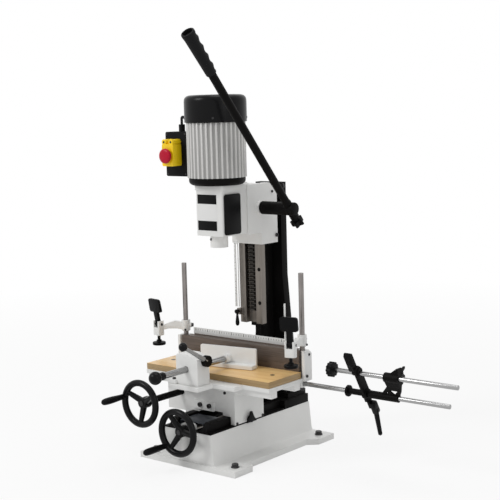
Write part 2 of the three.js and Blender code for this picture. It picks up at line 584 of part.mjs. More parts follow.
function saddleLock() {
  const start = saddle.right + FIT;
  const hubBody = at(rod(lockLever.hub, start, start + lockLever.length, 'x', SMALL_SIDES), 0, lockLever.y,
    lockLever.z);
  const outer = start + lockLever.length;
  const inner = outer - lockLever.thickness;
  const wings = slabX([[lockLever.y - lockLever.wing, lockLever.z - lockLever.wingHeight],
    [lockLever.y + lockLever.wing, lockLever.z - lockLever.wingHeight],
    [lockLever.y + lockLever.wing * HALF, lockLever.z + lockLever.wingHeight],
    [lockLever.y + lockLever.thickness * HALF, lockLever.z + lockLever.stalk],
    [lockLever.y - lockLever.thickness * HALF, lockLever.z + lockLever.stalk],
    [lockLever.y - lockLever.wing * HALF, lockLever.z + lockLever.wingHeight]], inner, outer);
  return unite(hubBody, wings);
}

// Shafts and handwheels
function feedShaft() {
  const shaft = rod(feed.shaft, feed.front, feed.rear, 'y');
  const gear = slabY(gearOutline(feed.moduleSize, feed.teeth, rad(90)), feed.gearY - feed.gearHalf,
    feed.gearY + feed.gearHalf);
  return at(unite(shaft, gear), feed.x, 0, feed.z);
}

function leadscrewBody() {
  const shaft = rod(screw.radius, screw.front, screw.rear, 'y');
  const thrust = rod(screw.collar, base.front - FIT - screw.collarLength, base.front - FIT, 'y');
  return at(unite(shaft, thrust), 0, 0, screw.z);
}

// Handwheel round the Y axis, its rim's middle at the origin and its hub set back by the dish.
function handwheel(bore, spokeAngle, gripAngle) {
  const profile = circle(wheel.rim, 0, wheel.rimRadius, wheel.rimRadius, wheel.rimSides);
  const rim = turned([...profile, profile[0]], 'y', wheel.rimSteps);
  const hubStart = wheel.dish - wheel.hubLength * HALF;
  let whole = rim.add(rod(wheel.hub, hubStart, hubStart + wheel.hubLength, 'y'));
  const run = wheel.rim - wheel.rimRadius * HALF;
  for (let i = 0; i < wheel.spokes; i += 1) {
    const side = [[wheel.hub * HALF, wheel.dish - wheel.spokeThickness], [run, -wheel.spokeThickness * HALF],
      [run, wheel.spokeThickness * HALF], [wheel.hub * HALF, wheel.dish + wheel.spokeThickness * HALF]];
    const width = [[wheel.hub * HALF, -wheel.spokeWidth * HALF], [run, -wheel.spokeWidth * HALF * HALF],
      [run, wheel.spokeWidth * HALF * HALF], [wheel.hub * HALF, wheel.spokeWidth * HALF]];
    const spoke = slabZ(side, -wheel.spokeWidth, wheel.spokeWidth)
      .intersect(slabY(width, -wheel.rim, wheel.rim));
    whole = whole.add(spoke.rotate([0, -(spokeAngle + (i * 360) / wheel.spokes), 0]));
  }
  const seat = at(rod(grip.baseRadius, -wheel.rimRadius, 0, 'y', SMALL_SIDES),
    wheel.rim * Math.cos(rad(gripAngle)), 0, wheel.rim * Math.sin(rad(gripAngle)));
  return whole.add(seat).subtract(rod(bore + FIT, -wheel.rim, wheel.rim, 'y'));
}

function gripBody(gripAngle) {
  const start = wheel.rimRadius + FIT;
  const l = grip.length;
  const shares = [[0, grip.baseRadius], [grip.neckShare, grip.baseRadius], [grip.bulgeShare, grip.bulgeRadius],
    [grip.endShare, grip.endRadius], [1, grip.endRadius * HALF]];
  const profile = [[0, -start - l], ...shares.map(([share, r]) => [r, -start - share * l]).reverse(),
    [0, -start]];
  return at(turned(profile, 'y', grip.sides), wheel.rim * Math.cos(rad(gripAngle)), 0,
    wheel.rim * Math.sin(rad(gripAngle)));
}

// Table
function tableCasting() {
  const plan = [[-table.halfWidth, table.front], [table.stepLeft, table.front],
    [table.stepLeft, table.stepFront], [table.tongueLeft, table.stepFront],
    [table.tongueLeft, table.tongueFront], [table.tongueRight, table.tongueFront],
    [table.tongueRight, table.stepFront], [table.stepRight, table.stepFront],
    [table.stepRight, table.front], [table.halfWidth, table.front], [table.halfWidth, table.rear],
    [-table.halfWidth, table.rear]];
  const underside = table.top - table.thickness;
  let whole = slabZ(plan, underside, table.top);
  for (const y of [table.railFront, table.railRear - table.railWidth]) {
    whole = whole.add(block(-table.halfWidth, table.halfWidth, y, y + table.railWidth,
      underside - table.railHeight, underside + OVERRUN));
  }
  const railBoss = block(table.bossLeft, table.halfWidth, rail.y - table.bossHalf, rail.y + table.bossHalf,
    underside - table.bossHeight, underside + OVERRUN);
  const bore = at(rod(rail.radius + FIT, table.bossLeft + table.bossHalf * HALF,
    table.halfWidth + OVERRUN, 'x'),
    0, rail.y, rail.z);
  return whole.add(railBoss).subtract(bore);
}

const feedPitch = feed.moduleSize * feed.teeth * HALF;
function tableRackBody() {
  const rackZ = feed.z + feedPitch + FIT * HALF;
  const pitch = Math.PI * feed.moduleSize;
  const first = Math.ceil((-table.halfWidth - feed.x) / pitch) + tableRack.firstTooth;
  const back = tableRack.top - rackZ;
  const points = rackOutline(feed.moduleSize, tableRack.teeth, first, -back);
  return slabY(points.map(([x, z]) => [feed.x + x, rackZ - z]), feed.gearY - feed.gearHalf,
    feed.gearY + feed.gearHalf);
}

function fenceBody() {
  const plate = block(-fence.halfWidth, fence.halfWidth, fence.front, fence.front + fence.thickness,
    table.top + FIT, fence.top);
  const flange = block(-fence.flangeHalf, fence.flangeHalf, fence.front, fence.flangeRear,
    fence.top - fence.flangeThickness, fence.top);
  const ruleBack = block(fence.ruleLeft, fence.ruleRight, fence.flangeRear - fence.ruleThickness,
    fence.flangeRear, fence.top - fence.flangeThickness, fence.ruleTop);
  return unite(plate, flange, ruleBack);
}

function endBracket(sign) {
  const floor = table.top + FIT;
  const inner = block(bracket.inner, bracket.split, bracket.blockFront, bracket.rear, floor, bracket.top);
  const side = slabX([[bracket.front, bracket.sideBottom], [bracket.rear, bracket.sideBottom],
    [bracket.rear, bracket.top - bracket.lobe], [bracket.rear - bracket.lobe, bracket.top],
    [bracket.front, bracket.top]], bracket.split - HALF * FIT, bracket.outer);
  const clearance = block(bracket.inner, bracket.split, bracket.front - OVERRUN, bracket.rear + OVERRUN,
    bracket.sideBottom - OVERRUN, floor);
  const bore = at(rod(post.radius + FIT, post.bottom - FIT, bracket.top + OVERRUN, 'z'), post.x, post.y, 0);
  const whole = inner.add(side).subtract(clearance).subtract(bore);
  return sign > 0 ? whole : whole.mirror([1, 0, 0]);
}

function postBody(sign) {
  return at(turned([[0, post.bottom], [post.radius, post.bottom], [post.radius, post.top - post.chamfer],
    [post.radius - post.chamfer, post.top], [0, post.top]]), sign * post.x, post.y, 0);
}

// Hold-down arm in its own frame: the post at the origin and the foot at +X.
function holdDownArm(spec) {
  const ring = rod(arm.collar, arm.bottom, arm.top);
  const middle = (arm.bottom + arm.forkFloor) * HALF;
  const arch = arm.archShares.map((share) => [arm.reach * share, arm.bottom + arm.archRise]);
  const [fall, rise] = arm.topShares;
  const web = slabY([[0, arm.top - arm.webDrop], [0, arm.bottom], ...arch, [arm.reach, middle - arm.archRise],
    [arm.reach, arm.forkFloor], [arm.reach * fall, arm.forkTop - arm.webDrop],
    [arm.reach * rise, arm.forkTop]], -arm.webHalf, arm.webHalf);
  const yoke = slabZ(roundedRect(-arm.forkHalf, arm.forkHalf, -arm.forkDepth, arm.forkDepth, arm.webHalf, 2),
    arm.forkBottom, arm.forkTop);
  const slot = block(-arm.gap, arm.gap, -arm.forkDepth * 2, arm.forkDepth * 2, arm.forkFloor,
    arm.forkTop + arm.clampLength * 2);
  const stemBore = rod(arm.bore + RUN, arm.forkBottom - OVERRUN, arm.forkFloor + OVERRUN, 'z', SMALL_SIDES);
  const pin = at(rod(arm.pin, -arm.forkHalf, arm.forkHalf, 'x', SMALL_SIDES), 0, 0, arm.pinZ);
  const turn = spec.pinTurn - spec.swing;
  let fork = yoke.subtract(slot).add(pin);
  if (spec.strip) {
    fork = fork.add(block(-arm.forkHalf - arm.stripThickness, -arm.forkHalf, arm.stripFront, arm.stripRear,
      arm.bottom, arm.stripTop));
  }
  const yokeBody = fork.rotate([0, 0, turn]);
  const clear = slot.rotate([0, 0, turn]);
  const clampBody = at(rod(arm.clampBoss, 0, arm.clampLength, 'x', SMALL_SIDES), -arm.collar - arm.clampLength
    * HALF, 0, (arm.bottom + arm.top) * HALF);
  const whole = unite(ring, web.subtract(shiftX(clear, arm.reach)), shiftX(yokeBody, arm.reach), clampBody);
  return whole.subtract(shiftX(stemBore, arm.reach)).subtract(rod(post.radius + RUN, arm.bottom - OVERRUN,
    arm.top + OVERRUN));
}

// Cam lever and foot in the yoke's frame: the pin lies along X and the foot hangs down the Z axis.
function camLever() {
  const eye = at(rod(cam.eye, -cam.stemHalf, cam.stemHalf, 'x', SMALL_SIDES), 0, 0, arm.pinZ);
  const depth = cam.stemDepth;
  const low = cam.paddleBottom - cam.corner;
  const tipY = cam.crank + cam.lean;
  const side = slabX([[-depth, arm.pinZ], [-cam.crank - depth, low], [-tipY - cam.paddleDepth, cam.paddleTop],
    [-tipY + cam.paddleDepth, cam.paddleTop], [-cam.crank + depth, low + cam.corner],
    [depth, arm.pinZ]].reverse(), -cam.paddleHalf, cam.paddleHalf);
  const stem = slabY([[-cam.stemHalf, arm.pinZ], [cam.stemHalf, arm.pinZ],
    [cam.stemHalf, cam.paddleBottom + cam.corner], [-cam.stemHalf, cam.paddleBottom + cam.corner]],
  -cam.paddleHalf * 2, cam.paddleHalf);
  const paddle = slabY(roundedRect(-cam.paddleHalf, cam.paddleHalf, cam.paddleBottom, cam.paddleTop, cam.corner,
    2), -cam.paddleHalf * 2, cam.paddleHalf);
  const bore = at(rod(arm.pin + RUN, -cam.paddleHalf, cam.paddleHalf, 'x', SMALL_SIDES), 0, 0, arm.pinZ);
  return unite(eye, stem.add(paddle).intersect(side)).subtract(bore);
}

function holdDownFoot() {
  const l = foot;
  return turned([[0, l.discBottom], [l.disc - l.edge, l.discBottom], [l.disc, l.discBottom + l.edge],
    [l.disc, l.discTop - l.edge], [l.disc - l.edge, l.discTop], [l.neck, l.discTop], [l.neck, l.neckTop],
    [l.stem, l.neckTop], [l.stem, l.stemTop], [0, l.stemTop]]);
}

// Front vise
function viseBracket() {
  const floor = table.top + FIT;
  const body = slabY([[vise.left, floor], [vise.right, floor], [vise.right, vise.top - vise.chamferDrop],
    [vise.right - vise.chamferWidth, vise.top], [vise.left + vise.corner, vise.top],
    [vise.left, vise.top - vise.corner]], vise.front, vise.rear);
  const flange = block(vise.flangeLeft, vise.left + OVERRUN, vise.flangeFront, vise.flangeRear, floor,
    floor + vise.flangeHeight);
  const bore = at(rod(viseRod.radius + RUN, vise.front - OVERRUN, vise.rear + OVERRUN, 'y'), vise.x, 0, vise.z);
  return unite(body, flange).subtract(bore);
}

function viseRodBody() {
  const neckFront = viseRod.front - viseRod.neckLength;
  const shaft = turned([[0, viseRod.front - OVERRUN], [viseRod.radius, viseRod.front - OVERRUN],
    [viseRod.radius, viseRod.rear - viseRod.domeLength], [viseRod.domeRadius, viseRod.rear - viseRod.dome],
    [0, viseRod.rear]], 'y');
  const neck = rod(viseRod.neck, neckFront, viseRod.front, 'y');
  const knob = ball(viseRod.ball, [0, neckFront - viseRod.ball * viseRod.sunkShare, 0]);
  return at(unite(shaft, neck, knob), vise.x, 0, vise.z);
}

function viseLockBody() {
  const hubBody = at(rod(viseLock.hub, viseLock.left, viseLock.left + viseLock.hubLength, 'x'), 0, viseLock.y,
    viseLock.z);
  const dy = viseLock.leverY - viseLock.y;
  const dz = viseLock.leverZ - viseLock.z;
  const length = Math.hypot(dy, dz);
  const bar = turned([[0, 0], [viseLock.root, 0], [viseLock.tipRadius, length], [0, length]], 'z', SMALL_SIDES)
    .rotate([Math.atan2(-dy, dz) * (360 / TAU), 0, 0]);
  const middle = viseLock.left + viseLock.root + FIT;
  const knob = ball(viseLock.ball, [middle, viseLock.leverY, viseLock.leverZ]);
  return unite(hubBody, at(bar, middle, viseLock.y, viseLock.z), knob);
}

function viseJaw() {
  const plate = slabY(roundedRect(-jaw.halfLength, jaw.halfLength, jaw.bottom, jaw.top, jaw.corner, 2), 0,
    jaw.thickness);
  const ledge = block(-jaw.halfLength, jaw.halfLength, -jaw.ledgeDepth, OVERRUN, jaw.bottom,
    jaw.bottom + jaw.ledgeHeight);
  const boss = at(rod(jaw.boss, viseRod.rear + FIT, jaw.back + OVERRUN, 'y'), vise.x, 0, vise.z);
  const clear = at(rod(jaw.boss, viseRod.front, viseRod.rear + FIT, 'y'), vise.x, 0, vise.z);
  return at(plate.add(ledge).rotate([0, 0, jaw.yaw]), jaw.x, jaw.back, 0).subtract(clear).add(boss);
}

// Side stop
function stopRailBody() {
  return at(rod(rail.radius, rail.left, rail.right, 'x'), 0, rail.y, rail.z);
}

function stopCollar() {
  const ring = rod(collar.radius, collar.left, collar.left + collar.thickness, 'x');
  return at(ring.subtract(rod(rail.radius + RUN, collar.left - OVERRUN, collar.left + collar.thickness
    + OVERRUN, 'x')), 0, rail.y, rail.z);
}

function stopSlide() {
  const start = collar.left + collar.thickness + FIT;
  const sleeve = at(rod(stop.sleeve, start, stop.right, 'x'), 0, rail.y, rail.z);
  const body = at(rod(stop.body, stop.sleeveStep, stop.right, 'x'), 0, rail.y, rail.z);
  const hubBody = at(rod(stop.hub, stop.hubLeft, stop.hubRight, 'x'), 0, stop.rodY, stop.rodZ);
  const reach = Math.hypot(stop.rodY - rail.y, stop.rodZ - rail.z);
  const half = stop.webThickness * HALF;
  let web = slabY([[stop.webLeft, 0], [stop.right, 0], [stop.shoulderRight, stop.shoulder],
    [stop.hubRight, stop.neck], [stop.hubRight, reach], [stop.hubLeft, reach],
    [stop.hubLeft + half, stop.neck], [stop.shoulderLeft, stop.shoulder], [stop.webLeft, stop.body + half]],
  -half, half);
  for (const hole of stopWindows) {
    const corners = [[hole.left, hole.base], [hole.right, hole.base], [hole.tipX, hole.tip]];
    if (hole.tip < hole.base) corners.reverse();
    web = web.subtract(slabY(corners, -stop.hub, stop.hub));
  }
  const neck = slabY([[stop.hubLeft + half, stop.neck], [stop.hubRight, stop.neck], [stop.hubRight, reach],
    [stop.hubLeft, reach]], -stop.body, stop.body);
  const plate = at(web.add(neck).rotate([stopTilt, 0, 0]), 0, rail.y, rail.z);
  const clampHorn = slabY([[horn.left, stop.rodZ], [stop.hubRight, stop.rodZ], [stop.hubRight, horn.top],
    [horn.shoulder, horn.top], [horn.left, horn.foot]], horn.front, horn.rear);
  return unite(sleeve, body, hubBody, plate, clampHorn)
    .subtract(at(rod(rail.radius + RUN, rail.left, rail.right, 'x'), 0, rail.y, rail.z))
    .subtract(at(rod(stopRod.radius + RUN, stop.hubLeft - OVERRUN, stop.hubRight + OVERRUN, 'x'), 0, stop.rodY,
      stop.rodZ));
}

function stopRodBody() {
  const shaft = rod(stopRod.radius, stopRod.left, stopRod.right, 'x');
  const rim = Array.from({ length: stopRod.knobLobes * 4 }, (unused, i) => {
    const angle = (TAU * i) / (stopRod.knobLobes * 4);
    const r = stopRod.knob - stopRod.knobDepth * (1 - Math.cos(angle * stopRod.knobLobes));
    return [r * Math.cos(angle), r * Math.sin(angle)];
  });
  const knob = slabX(rim, stopRod.left, stopRod.left + stopRod.knobThickness);
  return at(unite(shaft, knob), 0, stop.rodY, stop.rodZ);
}

function alongArm(distance) {
  const dy = stop.rodY - rail.y;
  const dz = stop.rodZ - rail.z;
  const reach = Math.hypot(dy, dz);
  return [rail.y + (dy * distance) / reach, rail.z + (dz * distance) / reach];
}

const stopTilt = Math.atan2(rail.y - stop.rodY, stop.rodZ - rail.z) * (360 / TAU);

// The arm's plate lies square to the rail, with a tongue below for the handle and a pad above.
function stopArmBody() {
  const c = stopArm;
  const x1 = c.x + c.thickness;
  const throat = c.shoulder + c.halfWidth - c.tongue;
  const plate = slabX([[-c.tongue, -c.down], [c.tongue, -c.down], [c.tongue, -throat],
    [c.halfWidth, -c.shoulder], [c.halfWidth, c.padFrom], [c.padHalf, c.up], [-c.padHalf, c.up],
    [-c.halfWidth, c.padFrom], [-c.halfWidth, -c.shoulder], [-c.tongue, -throat]], c.x, x1);
  const pad = slabX([[-c.padHalf, c.padFrom], [c.padHalf, c.padFrom], [c.padHalf, c.padTo - c.padChamfer],
    [c.padHalf - c.padChamfer, c.padTo], [c.padChamfer - c.padHalf, c.padTo],
    [-c.padHalf, c.padTo - c.padChamfer]], c.padLeft, c.padRight);
  const pinHole = rod(handle.pin + FIT, c.x - OVERRUN, x1 + OVERRUN, 'x', SMALL_SIDES);
  const bar = plate.add(at(pad, 0, c.padShift, 0)).subtract(at(pinHole, 0, 0, -handle.pivot));
  const ring = rod(c.ring, c.ringLeft, c.ringRight, 'x');
  const boss = at(rod(c.rodBoss, c.rodBossLeft, c.rodBossRight, 'x'), 0, stop.rodY, stop.rodZ + c.rodBossRise);
  return unite(at(bar.rotate([stopTilt, 0, 0]), 0, rail.y, rail.z), at(ring, 0, rail.y, rail.z), boss)
    .subtract(at(rod(stop.sleeve + FIT, c.ringLeft - OVERRUN, c.ringRight + OVERRUN, 'x'), 0, rail.y, rail.z))
    .subtract(at(rod(stopRod.radius + RUN, c.rodBossLeft - OVERRUN, c.rodBossRight + OVERRUN, 'x'), 0,
      stop.rodY, stop.rodZ));
}

function stopHandle() {
  const h = handle;
  const seat = stopArm.x + stopArm.thickness + FIT;
  const outer = seat + h.blockThickness;
  const slab = slabX(roundedRect(-h.blockHalf, h.blockHalf, -h.blockTo, -h.blockFrom, h.corner, 2), seat,
    outer);
  const pin = at(rod(h.pin, stopArm.x, outer, 'x', SMALL_SIDES), 0, 0, -h.pivot);
  const cap = at(rod(h.hub, seat, outer + h.cap, 'x'), 0, 0, -h.pivot);
  const gripBar = turned([[0, -h.gripLength], [h.endRadius * HALF, -h.gripLength],
    [h.endRadius, h.endRadius * HALF - h.gripLength], [h.rootRadius, 0], [0, 0]], 'z', SMALL_SIDES)
    .rotate([h.tilt, 0, 0]);
  const [y, z] = alongArm(-h.gripFrom);
  return unite(at(unite(slab, pin, cap).rotate([stopTilt, 0, 0]), 0, rail.y, rail.z),
    at(gripBar, (seat + outer) * HALF, y, z));
}

function wingKnob() {
  const w = wing;
  const half = w.thickness * HALF;
  const ear = [[0, w.root], [w.reach - w.tip, w.span], [w.reach, w.span], [w.reach, w.span - w.tip],
    [w.notch, 0]];
  const wings = slabX([...ear.map(([y, z]) => [y, -z]).reverse().slice(1), ...ear].reverse(), -half, half);
  return at(rod(w.hub, 0, w.hubLength, 'y', SMALL_SIDES).add(wings), w.x, horn.rear + FIT, w.z);
}

// Head
function headCasting() {
  const front = slabZ(roundedRect(-head.halfWidth, head.halfWidth, head.front, head.shoulder + head.corner * 2,
    head.corner), head.bottom, head.top);
  const lip = slabZ(roundedRect(-head.halfWidth - head.lip, head.halfWidth + head.lip, head.front - head.lip,
    head.shoulder + head.corner * 2, head.corner), head.top - head.lipHeight, head.top);
  const carriage = slabX([[head.shoulder, head.stepBottom], [head.stepY, head.stepBottom],
    [head.stepY, head.carriageBottom], [head.carriageRear, head.carriageBottom],
    [head.carriageRear, head.carriageTop - head.topCut],
    [head.carriageRear - head.topRun, head.carriageTop], [head.shoulder, head.carriageTop]],
  -head.carriageHalf, head.carriageHalf);
  const boss = at(rod(head.boss, head.carriageHalf - OVERRUN, head.bossRight, 'x'), 0, pinion.y, pinion.z);
  const nose = at(rod(head.collar, head.collarBottom, head.bottom + OVERRUN), 0, motor.y, 0);
  const room = block(-head.cavityHalf, head.halfWidth + OVERRUN, head.cavityFront, head.cavityRear,
    head.cavityBottom, head.cavityTop);
  const bushing = at(rod(head.collarBore, head.collarBottom - OVERRUN, head.cavityBottom + OVERRUN), 0,
    motor.y, 0);
  const topBore = at(rod(head.topBore, head.cavityTop - OVERRUN, head.top + OVERRUN), 0, motor.y, 0);
  const g = RUN;
  const low = head.carriageBottom - OVERRUN;
  const high = head.top + OVERRUN;
  const wayRoom = block(-ways.halfWidth - g, ways.halfWidth + g, ways.front - g, ways.rear + g, low, high);
  const neckRoom = block(-ways.neckHalfWidth - g, ways.neckHalfWidth + g, ways.rear,
    head.carriageRear + OVERRUN, low, high);
  const gearReach = pinionPitch + rack.moduleSize * tooth.roomShare;
  const gearRoom = block(-head.gearHalf, head.gearHalf, pinion.y - gearReach, ways.front + OVERRUN,
    pinion.z - gearReach, pinion.z + gearReach);
  const shaftBore = at(rod(pinion.shaft + RUN, pinion.left - FIT, head.bossRight + OVERRUN, 'x'), 0,
    pinion.y, pinion.z);
  const scaleRoom = block(scale.left - g * 2, scale.right + g * 2, scale.front - g * 2,
    ways.front, low, head.carriageBottom + OVERRUN * 2);
  return unite(front, lip, carriage, boss, nose).subtract(room).subtract(bushing).subtract(topBore)
    .subtract(wayRoom).subtract(neckRoom).subtract(gearRoom).subtract(shaftBore).subtract(scaleRoom);
}

function chuckCover() {
  const face = roundedRect(cover.front, cover.rear, cover.bottom, cover.top, cover.corner);
  const x0 = head.halfWidth + FIT;
  return slabX(face, x0, x0 + cover.thickness);
}

function scaleStrip() {
  const z1 = head.carriageBottom + OVERRUN * 2 - FIT;
  const strip = block(scale.left, scale.right, scale.front, scale.front + scale.thickness, scale.bottom, z1);
  return strip.subtract(block(scale.slotX - scale.slotHalf, scale.slotX + scale.slotHalf, scale.front - OVERRUN,
    scale.front + scale.thickness + OVERRUN, scale.bottom - OVERRUN, scale.slotTop));
}

function pinionShaft() {
  const shaft = rod(pinion.shaft, pinion.left, pinion.right, 'x');
  const gear = slabX(gearOutline(rack.moduleSize, pinion.teeth, 0), -pinion.halfWidth, pinion.halfWidth);
  return at(unite(shaft, gear), 0, pinion.y, pinion.z);
}

function leverHub() {
  const body = turned([[0, hub.left], [hub.radius, hub.left], [hub.radius, hub.right - hub.round],
    [hub.radius - hub.round, hub.right], [0, hub.right]], 'x');
  const bore = rod(pinion.shaft + RUN, hub.left - OVERRUN, pinion.right + FIT, 'x');
  return at(body.subtract(bore), 0, pinion.y, pinion.z);
}

function tilted(body) {
  return at(shiftX(body, lever.x).rotate([lever.tilt, 0, 0]), 0, pinion.y, pinion.z);
}

function leverBar() {
  const socketTop = leverGrip.from + (lever.up - leverGrip.from) * HALF;
  return tilted(rod(lever.bar, -lever.down, socketTop).add(rod(lever.boss, -lever.down, lever.bossTop)));
}

// The grip widens to its open end and has finger ridges along its upper side.
function leverGripBody() {
  const g = leverGrip;
  let outer = turned([[0, g.from], [g.rootRadius, g.from], [g.middleRadius, g.middle], [g.radius, g.shoulder],
    [g.endRadius, g.to - g.wall], [g.radius, g.to], [0, g.to]], 'z', g.sides);
  for (let i = 0; i < g.ridges; i += 1) {
    const z = g.ridgeFirst + i * g.ridgeStep;
    const ridge = turned([[0, z - g.ridgeHalf], [g.middleRadius, z], [0, z + g.ridgeHalf]], 'z', g.sides);
    outer = outer.add(at(ridge, 0, g.ridge, 0));
  }
  const socket = rod(lever.bar + FIT, g.from - OVERRUN, g.from + (lever.up - g.from) * HALF + FIT);
  const end = rod(g.radius - g.wall, g.to - g.mouth, g.to + OVERRUN);
  return tilted(outer.subtract(socket).subtract(end));
}

function leverKnobBody() {
  const k = leverKnob;
  const steps = k.lobes * 6;
  const rim = Array.from({ length: steps }, (unused, i) => {
    const angle = (TAU * i) / steps;
    const r = k.hub + k.lobe * (HALF + HALF * Math.cos(angle * k.lobes));
    return [r * Math.cos(angle), r * Math.sin(angle)];
  });
  return tilted(slabZ(rim, -k.to, -k.from).add(rod(k.neck, -k.to, -lever.down - FIT)));
}

// Motor and drive
function motorBody() {
  const points = [];
  for (let i = 0; i < motor.ribs; i += 1) {
    const step = TAU / motor.ribs;
    const a = i * step;
    motor.ribShares.forEach((share, corner) => {
      const r = motor.radius + (corner < 2 ? motor.ribHeight : 0);
      points.push([r * Math.cos(a + share * step), r * Math.sin(a + share * step)]);
    });
  }
  const shell = slabZ(points, motor.bottom + FIT, motor.top);
  return at(shell.subtract(rod(motor.bore, motor.bottom - OVERRUN, motor.top + OVERRUN)), 0, motor.y, 0);
}

function motorFlange() {
  const z0 = motor.flangeBottom;
  const z1 = z0 + motor.flangeHeight;
  const [bowl, lip] = motor.flangeShares;
  const turnIn = (motor.flangeRadius + motor.radius) * HALF;
  const body = turned([[0, z0], [motor.flangeRadius, z0], [turnIn, z0 + motor.flangeHeight * bowl],
    [motor.radius, z0 + motor.flangeHeight * lip], [motor.radius, z1], [0, z1]]);
  const bore = rod(motor.bearing, z0 - OVERRUN, z1 + OVERRUN);
  return at(body.subtract(bore), 0, motor.y, 0);
}

function fanCover() {
  const z0 = motor.top + FIT;
  const round = motor.capShares.map(([inward, down]) => [motor.capRound * inward, motor.capRound * down]);
  const dome = (r, top) => [[0, z0], [r, z0], [r, top - motor.capRound],
    ...round.map(([inward, down]) => [r - inward, top - down]), [0, top]];
  const shell = turned(dome(motor.cap, motor.capTop), 'z', motor.capSides);
  const room = turned(dome(motor.cap - motor.capWall, motor.capTop - motor.capWall)
    .map(([r, z]) => [r, z === z0 ? z0 - OVERRUN : z]), 'z', motor.capSides);
  const seat = rod(motor.radius + motor.ribHeight + motor.capWall, z0, z0 + motor.capWall)
    .subtract(rod(motor.radius - motor.capWall * 2, z0 - OVERRUN, z0 + motor.capWall + OVERRUN));
  return at(shell.subtract(room).add(seat), 0, motor.y, 0);
}

function spindleBody() {
  const s = spindle;
  return at(turned([[0, s.bottom], [s.shaft, s.bottom], [s.shaft, s.rotorBottom], [s.rotor, s.rotorBottom],
    [s.rotor, s.rotorTop], [s.shaft, s.rotorTop], [s.shaft, s.top], [0, s.top]]), 0, motor.y, 0);
}

function motorFan() {
  const top = fan.bottom + fan.height;
  let whole = rod(fan.hub, fan.bottom, top).add(rod(fan.bladeReach, fan.bottom, fan.bottom + fan.plate));
  for (let i = 0; i < fan.blades; i += 1) {
    const half = fan.bladeThickness * HALF;
    const blade = block(0, fan.bladeReach, -half, half, fan.bottom, top);
    whole = whole.add(blade.rotate([0, 0, (i * 360) / fan.blades]));
  }
  return at(whole, 0, motor.y, 0);
}

function chuckBody() {
  const c = chuck;
  const outer = turned([[0, c.bottom], [c.nose, c.bottom], [c.radius, c.taperTop], [c.radius, c.top],
    [0, c.top]]);
  const mouth = rod(c.bore, c.bottom - OVERRUN, c.taperTop);
  const socket = rod(spindle.shaft + FIT, spindle.bottom - FIT, c.top + OVERRUN);
  return at(outer.subtract(mouth).subtract(socket), 0, motor.y, 0);
}

// Switch
function switchBox() {
  const shell = slabY(roundedRect(box.left, box.right, box.bottom, box.top, box.corner, 2), box.front,
    box.rear);
  const y = (box.front + box.rear) * HALF;
  const gland = at(rod(box.gland, box.top - OVERRUN, box.top + box.glandHeight, 'z', SMALL_SIDES),
    box.glandX, y, 0);
  return shell.add(gland);
}

function switchHousing() {
  const back = box.front - FIT;
  const y0 = back - housing.depth;
  const face = roundedRect(housing.left, housing.right, housing.bottom, housing.top, housing.corner, 2);
  const body = slabY(face, y0, back);
  const x = (housing.left + housing.right) * HALF;
  const ears = [-1, 1].map((s) => at(rod(housing.ear, y0, back, 'y', SMALL_SIDES), x + s * housing.earX, 0,
    housing.top + housing.earRise));
  const recess = at(rod(button.stem + RUN, y0 - OVERRUN, y0 + button.stemDepth + RUN * 2, 'y'), x, 0, button.z);
  return unite(body, ...ears).subtract(recess);
}

function stopButton() {
  const y0 = box.front - FIT - housing.depth;
  const x = (housing.left + housing.right) * HALF;
  const travel = button.dome;
  const [flat, rise] = button.domeShares;
  const profile = [[0, y0 - button.depth], [button.radius * flat, y0 - button.depth + button.dome * rise],
    [button.radius, y0 - button.depth + button.dome], [button.radius, y0 - travel],
    [button.stem, y0 - travel], [button.stem, y0 + button.stemDepth - travel],
    [0, y0 + button.stemDepth - travel]];
  return at(turned(profile, 'y'), x, 0, button.z);
}

function motorLead() {
  const y = (box.front + box.rear) * HALF;
  const z = box.top + box.glandHeight + FIT;
  const side = motor.radius + motor.ribHeight + FIT;
  const angle = rad(lead.leaves);
  const end = new THREE.Vector3(side * Math.cos(angle), motor.y + side * Math.sin(angle),
    motor.top - motor.capRound * 2);
  const out = new THREE.Vector3(Math.cos(angle), Math.sin(angle), 0);
  const r = lead.run;
  const points = [new THREE.Vector3(box.glandX, y, z), new THREE.Vector3(box.glandX, y, z + r * HALF),
    new THREE.Vector3(box.glandX - r * 0.4, y + r * 0.6, z + r * 1.5),
    new THREE.Vector3(box.glandX - r * 0.6, y + r * 1.8, z + r * 1.2),
    end.clone().addScaledVector(out, r * 1.2).add(new THREE.Vector3(0, 0, r * HALF)),
    end.clone().addScaledVector(out, r * HALF), end];
  const path = new THREE.CatmullRomCurve3(points, false, 'centripetal');
  const section = new THREE.Shape(circle(0, 0, lead.radius, lead.radius, LEAD_SIDES)
    .map(([a, b]) => new THREE.Vector2(a, b)));
  const settings = { steps: LEAD_STEPS, bevelEnabled: false, extrudePath: path };
  return solid(new THREE.ExtrudeGeometry(section, settings));
}

// Assembly
place('base_casting', baseCasting(), 'whitePaint');
for (const [end, sy] of [['front', -1], ['rear', 1]]) {
  for (const [side, sx] of [['left', -1], ['right', 1]]) {
    const bolt = place(`foot_bolt_${end}_${side}`, footBoltBody(), 'zinc');
    bolt.position.set(sx * base.boltX, sy * base.boltY, 0);
  }
}
place('base_way', baseWay(), 'blackPaint');
place('leadscrew_guard', leadscrewGuard(), 'groundSteel');
place('column', columnBody(), 'blackPaint');
place('column_way', columnWay().add(stopBlockBody()), 'groundSteel');
place('column_rack', columnRack(), 'groundSteel');
place('depth_lock_handle', depthLockBody(), 'blackPlastic');

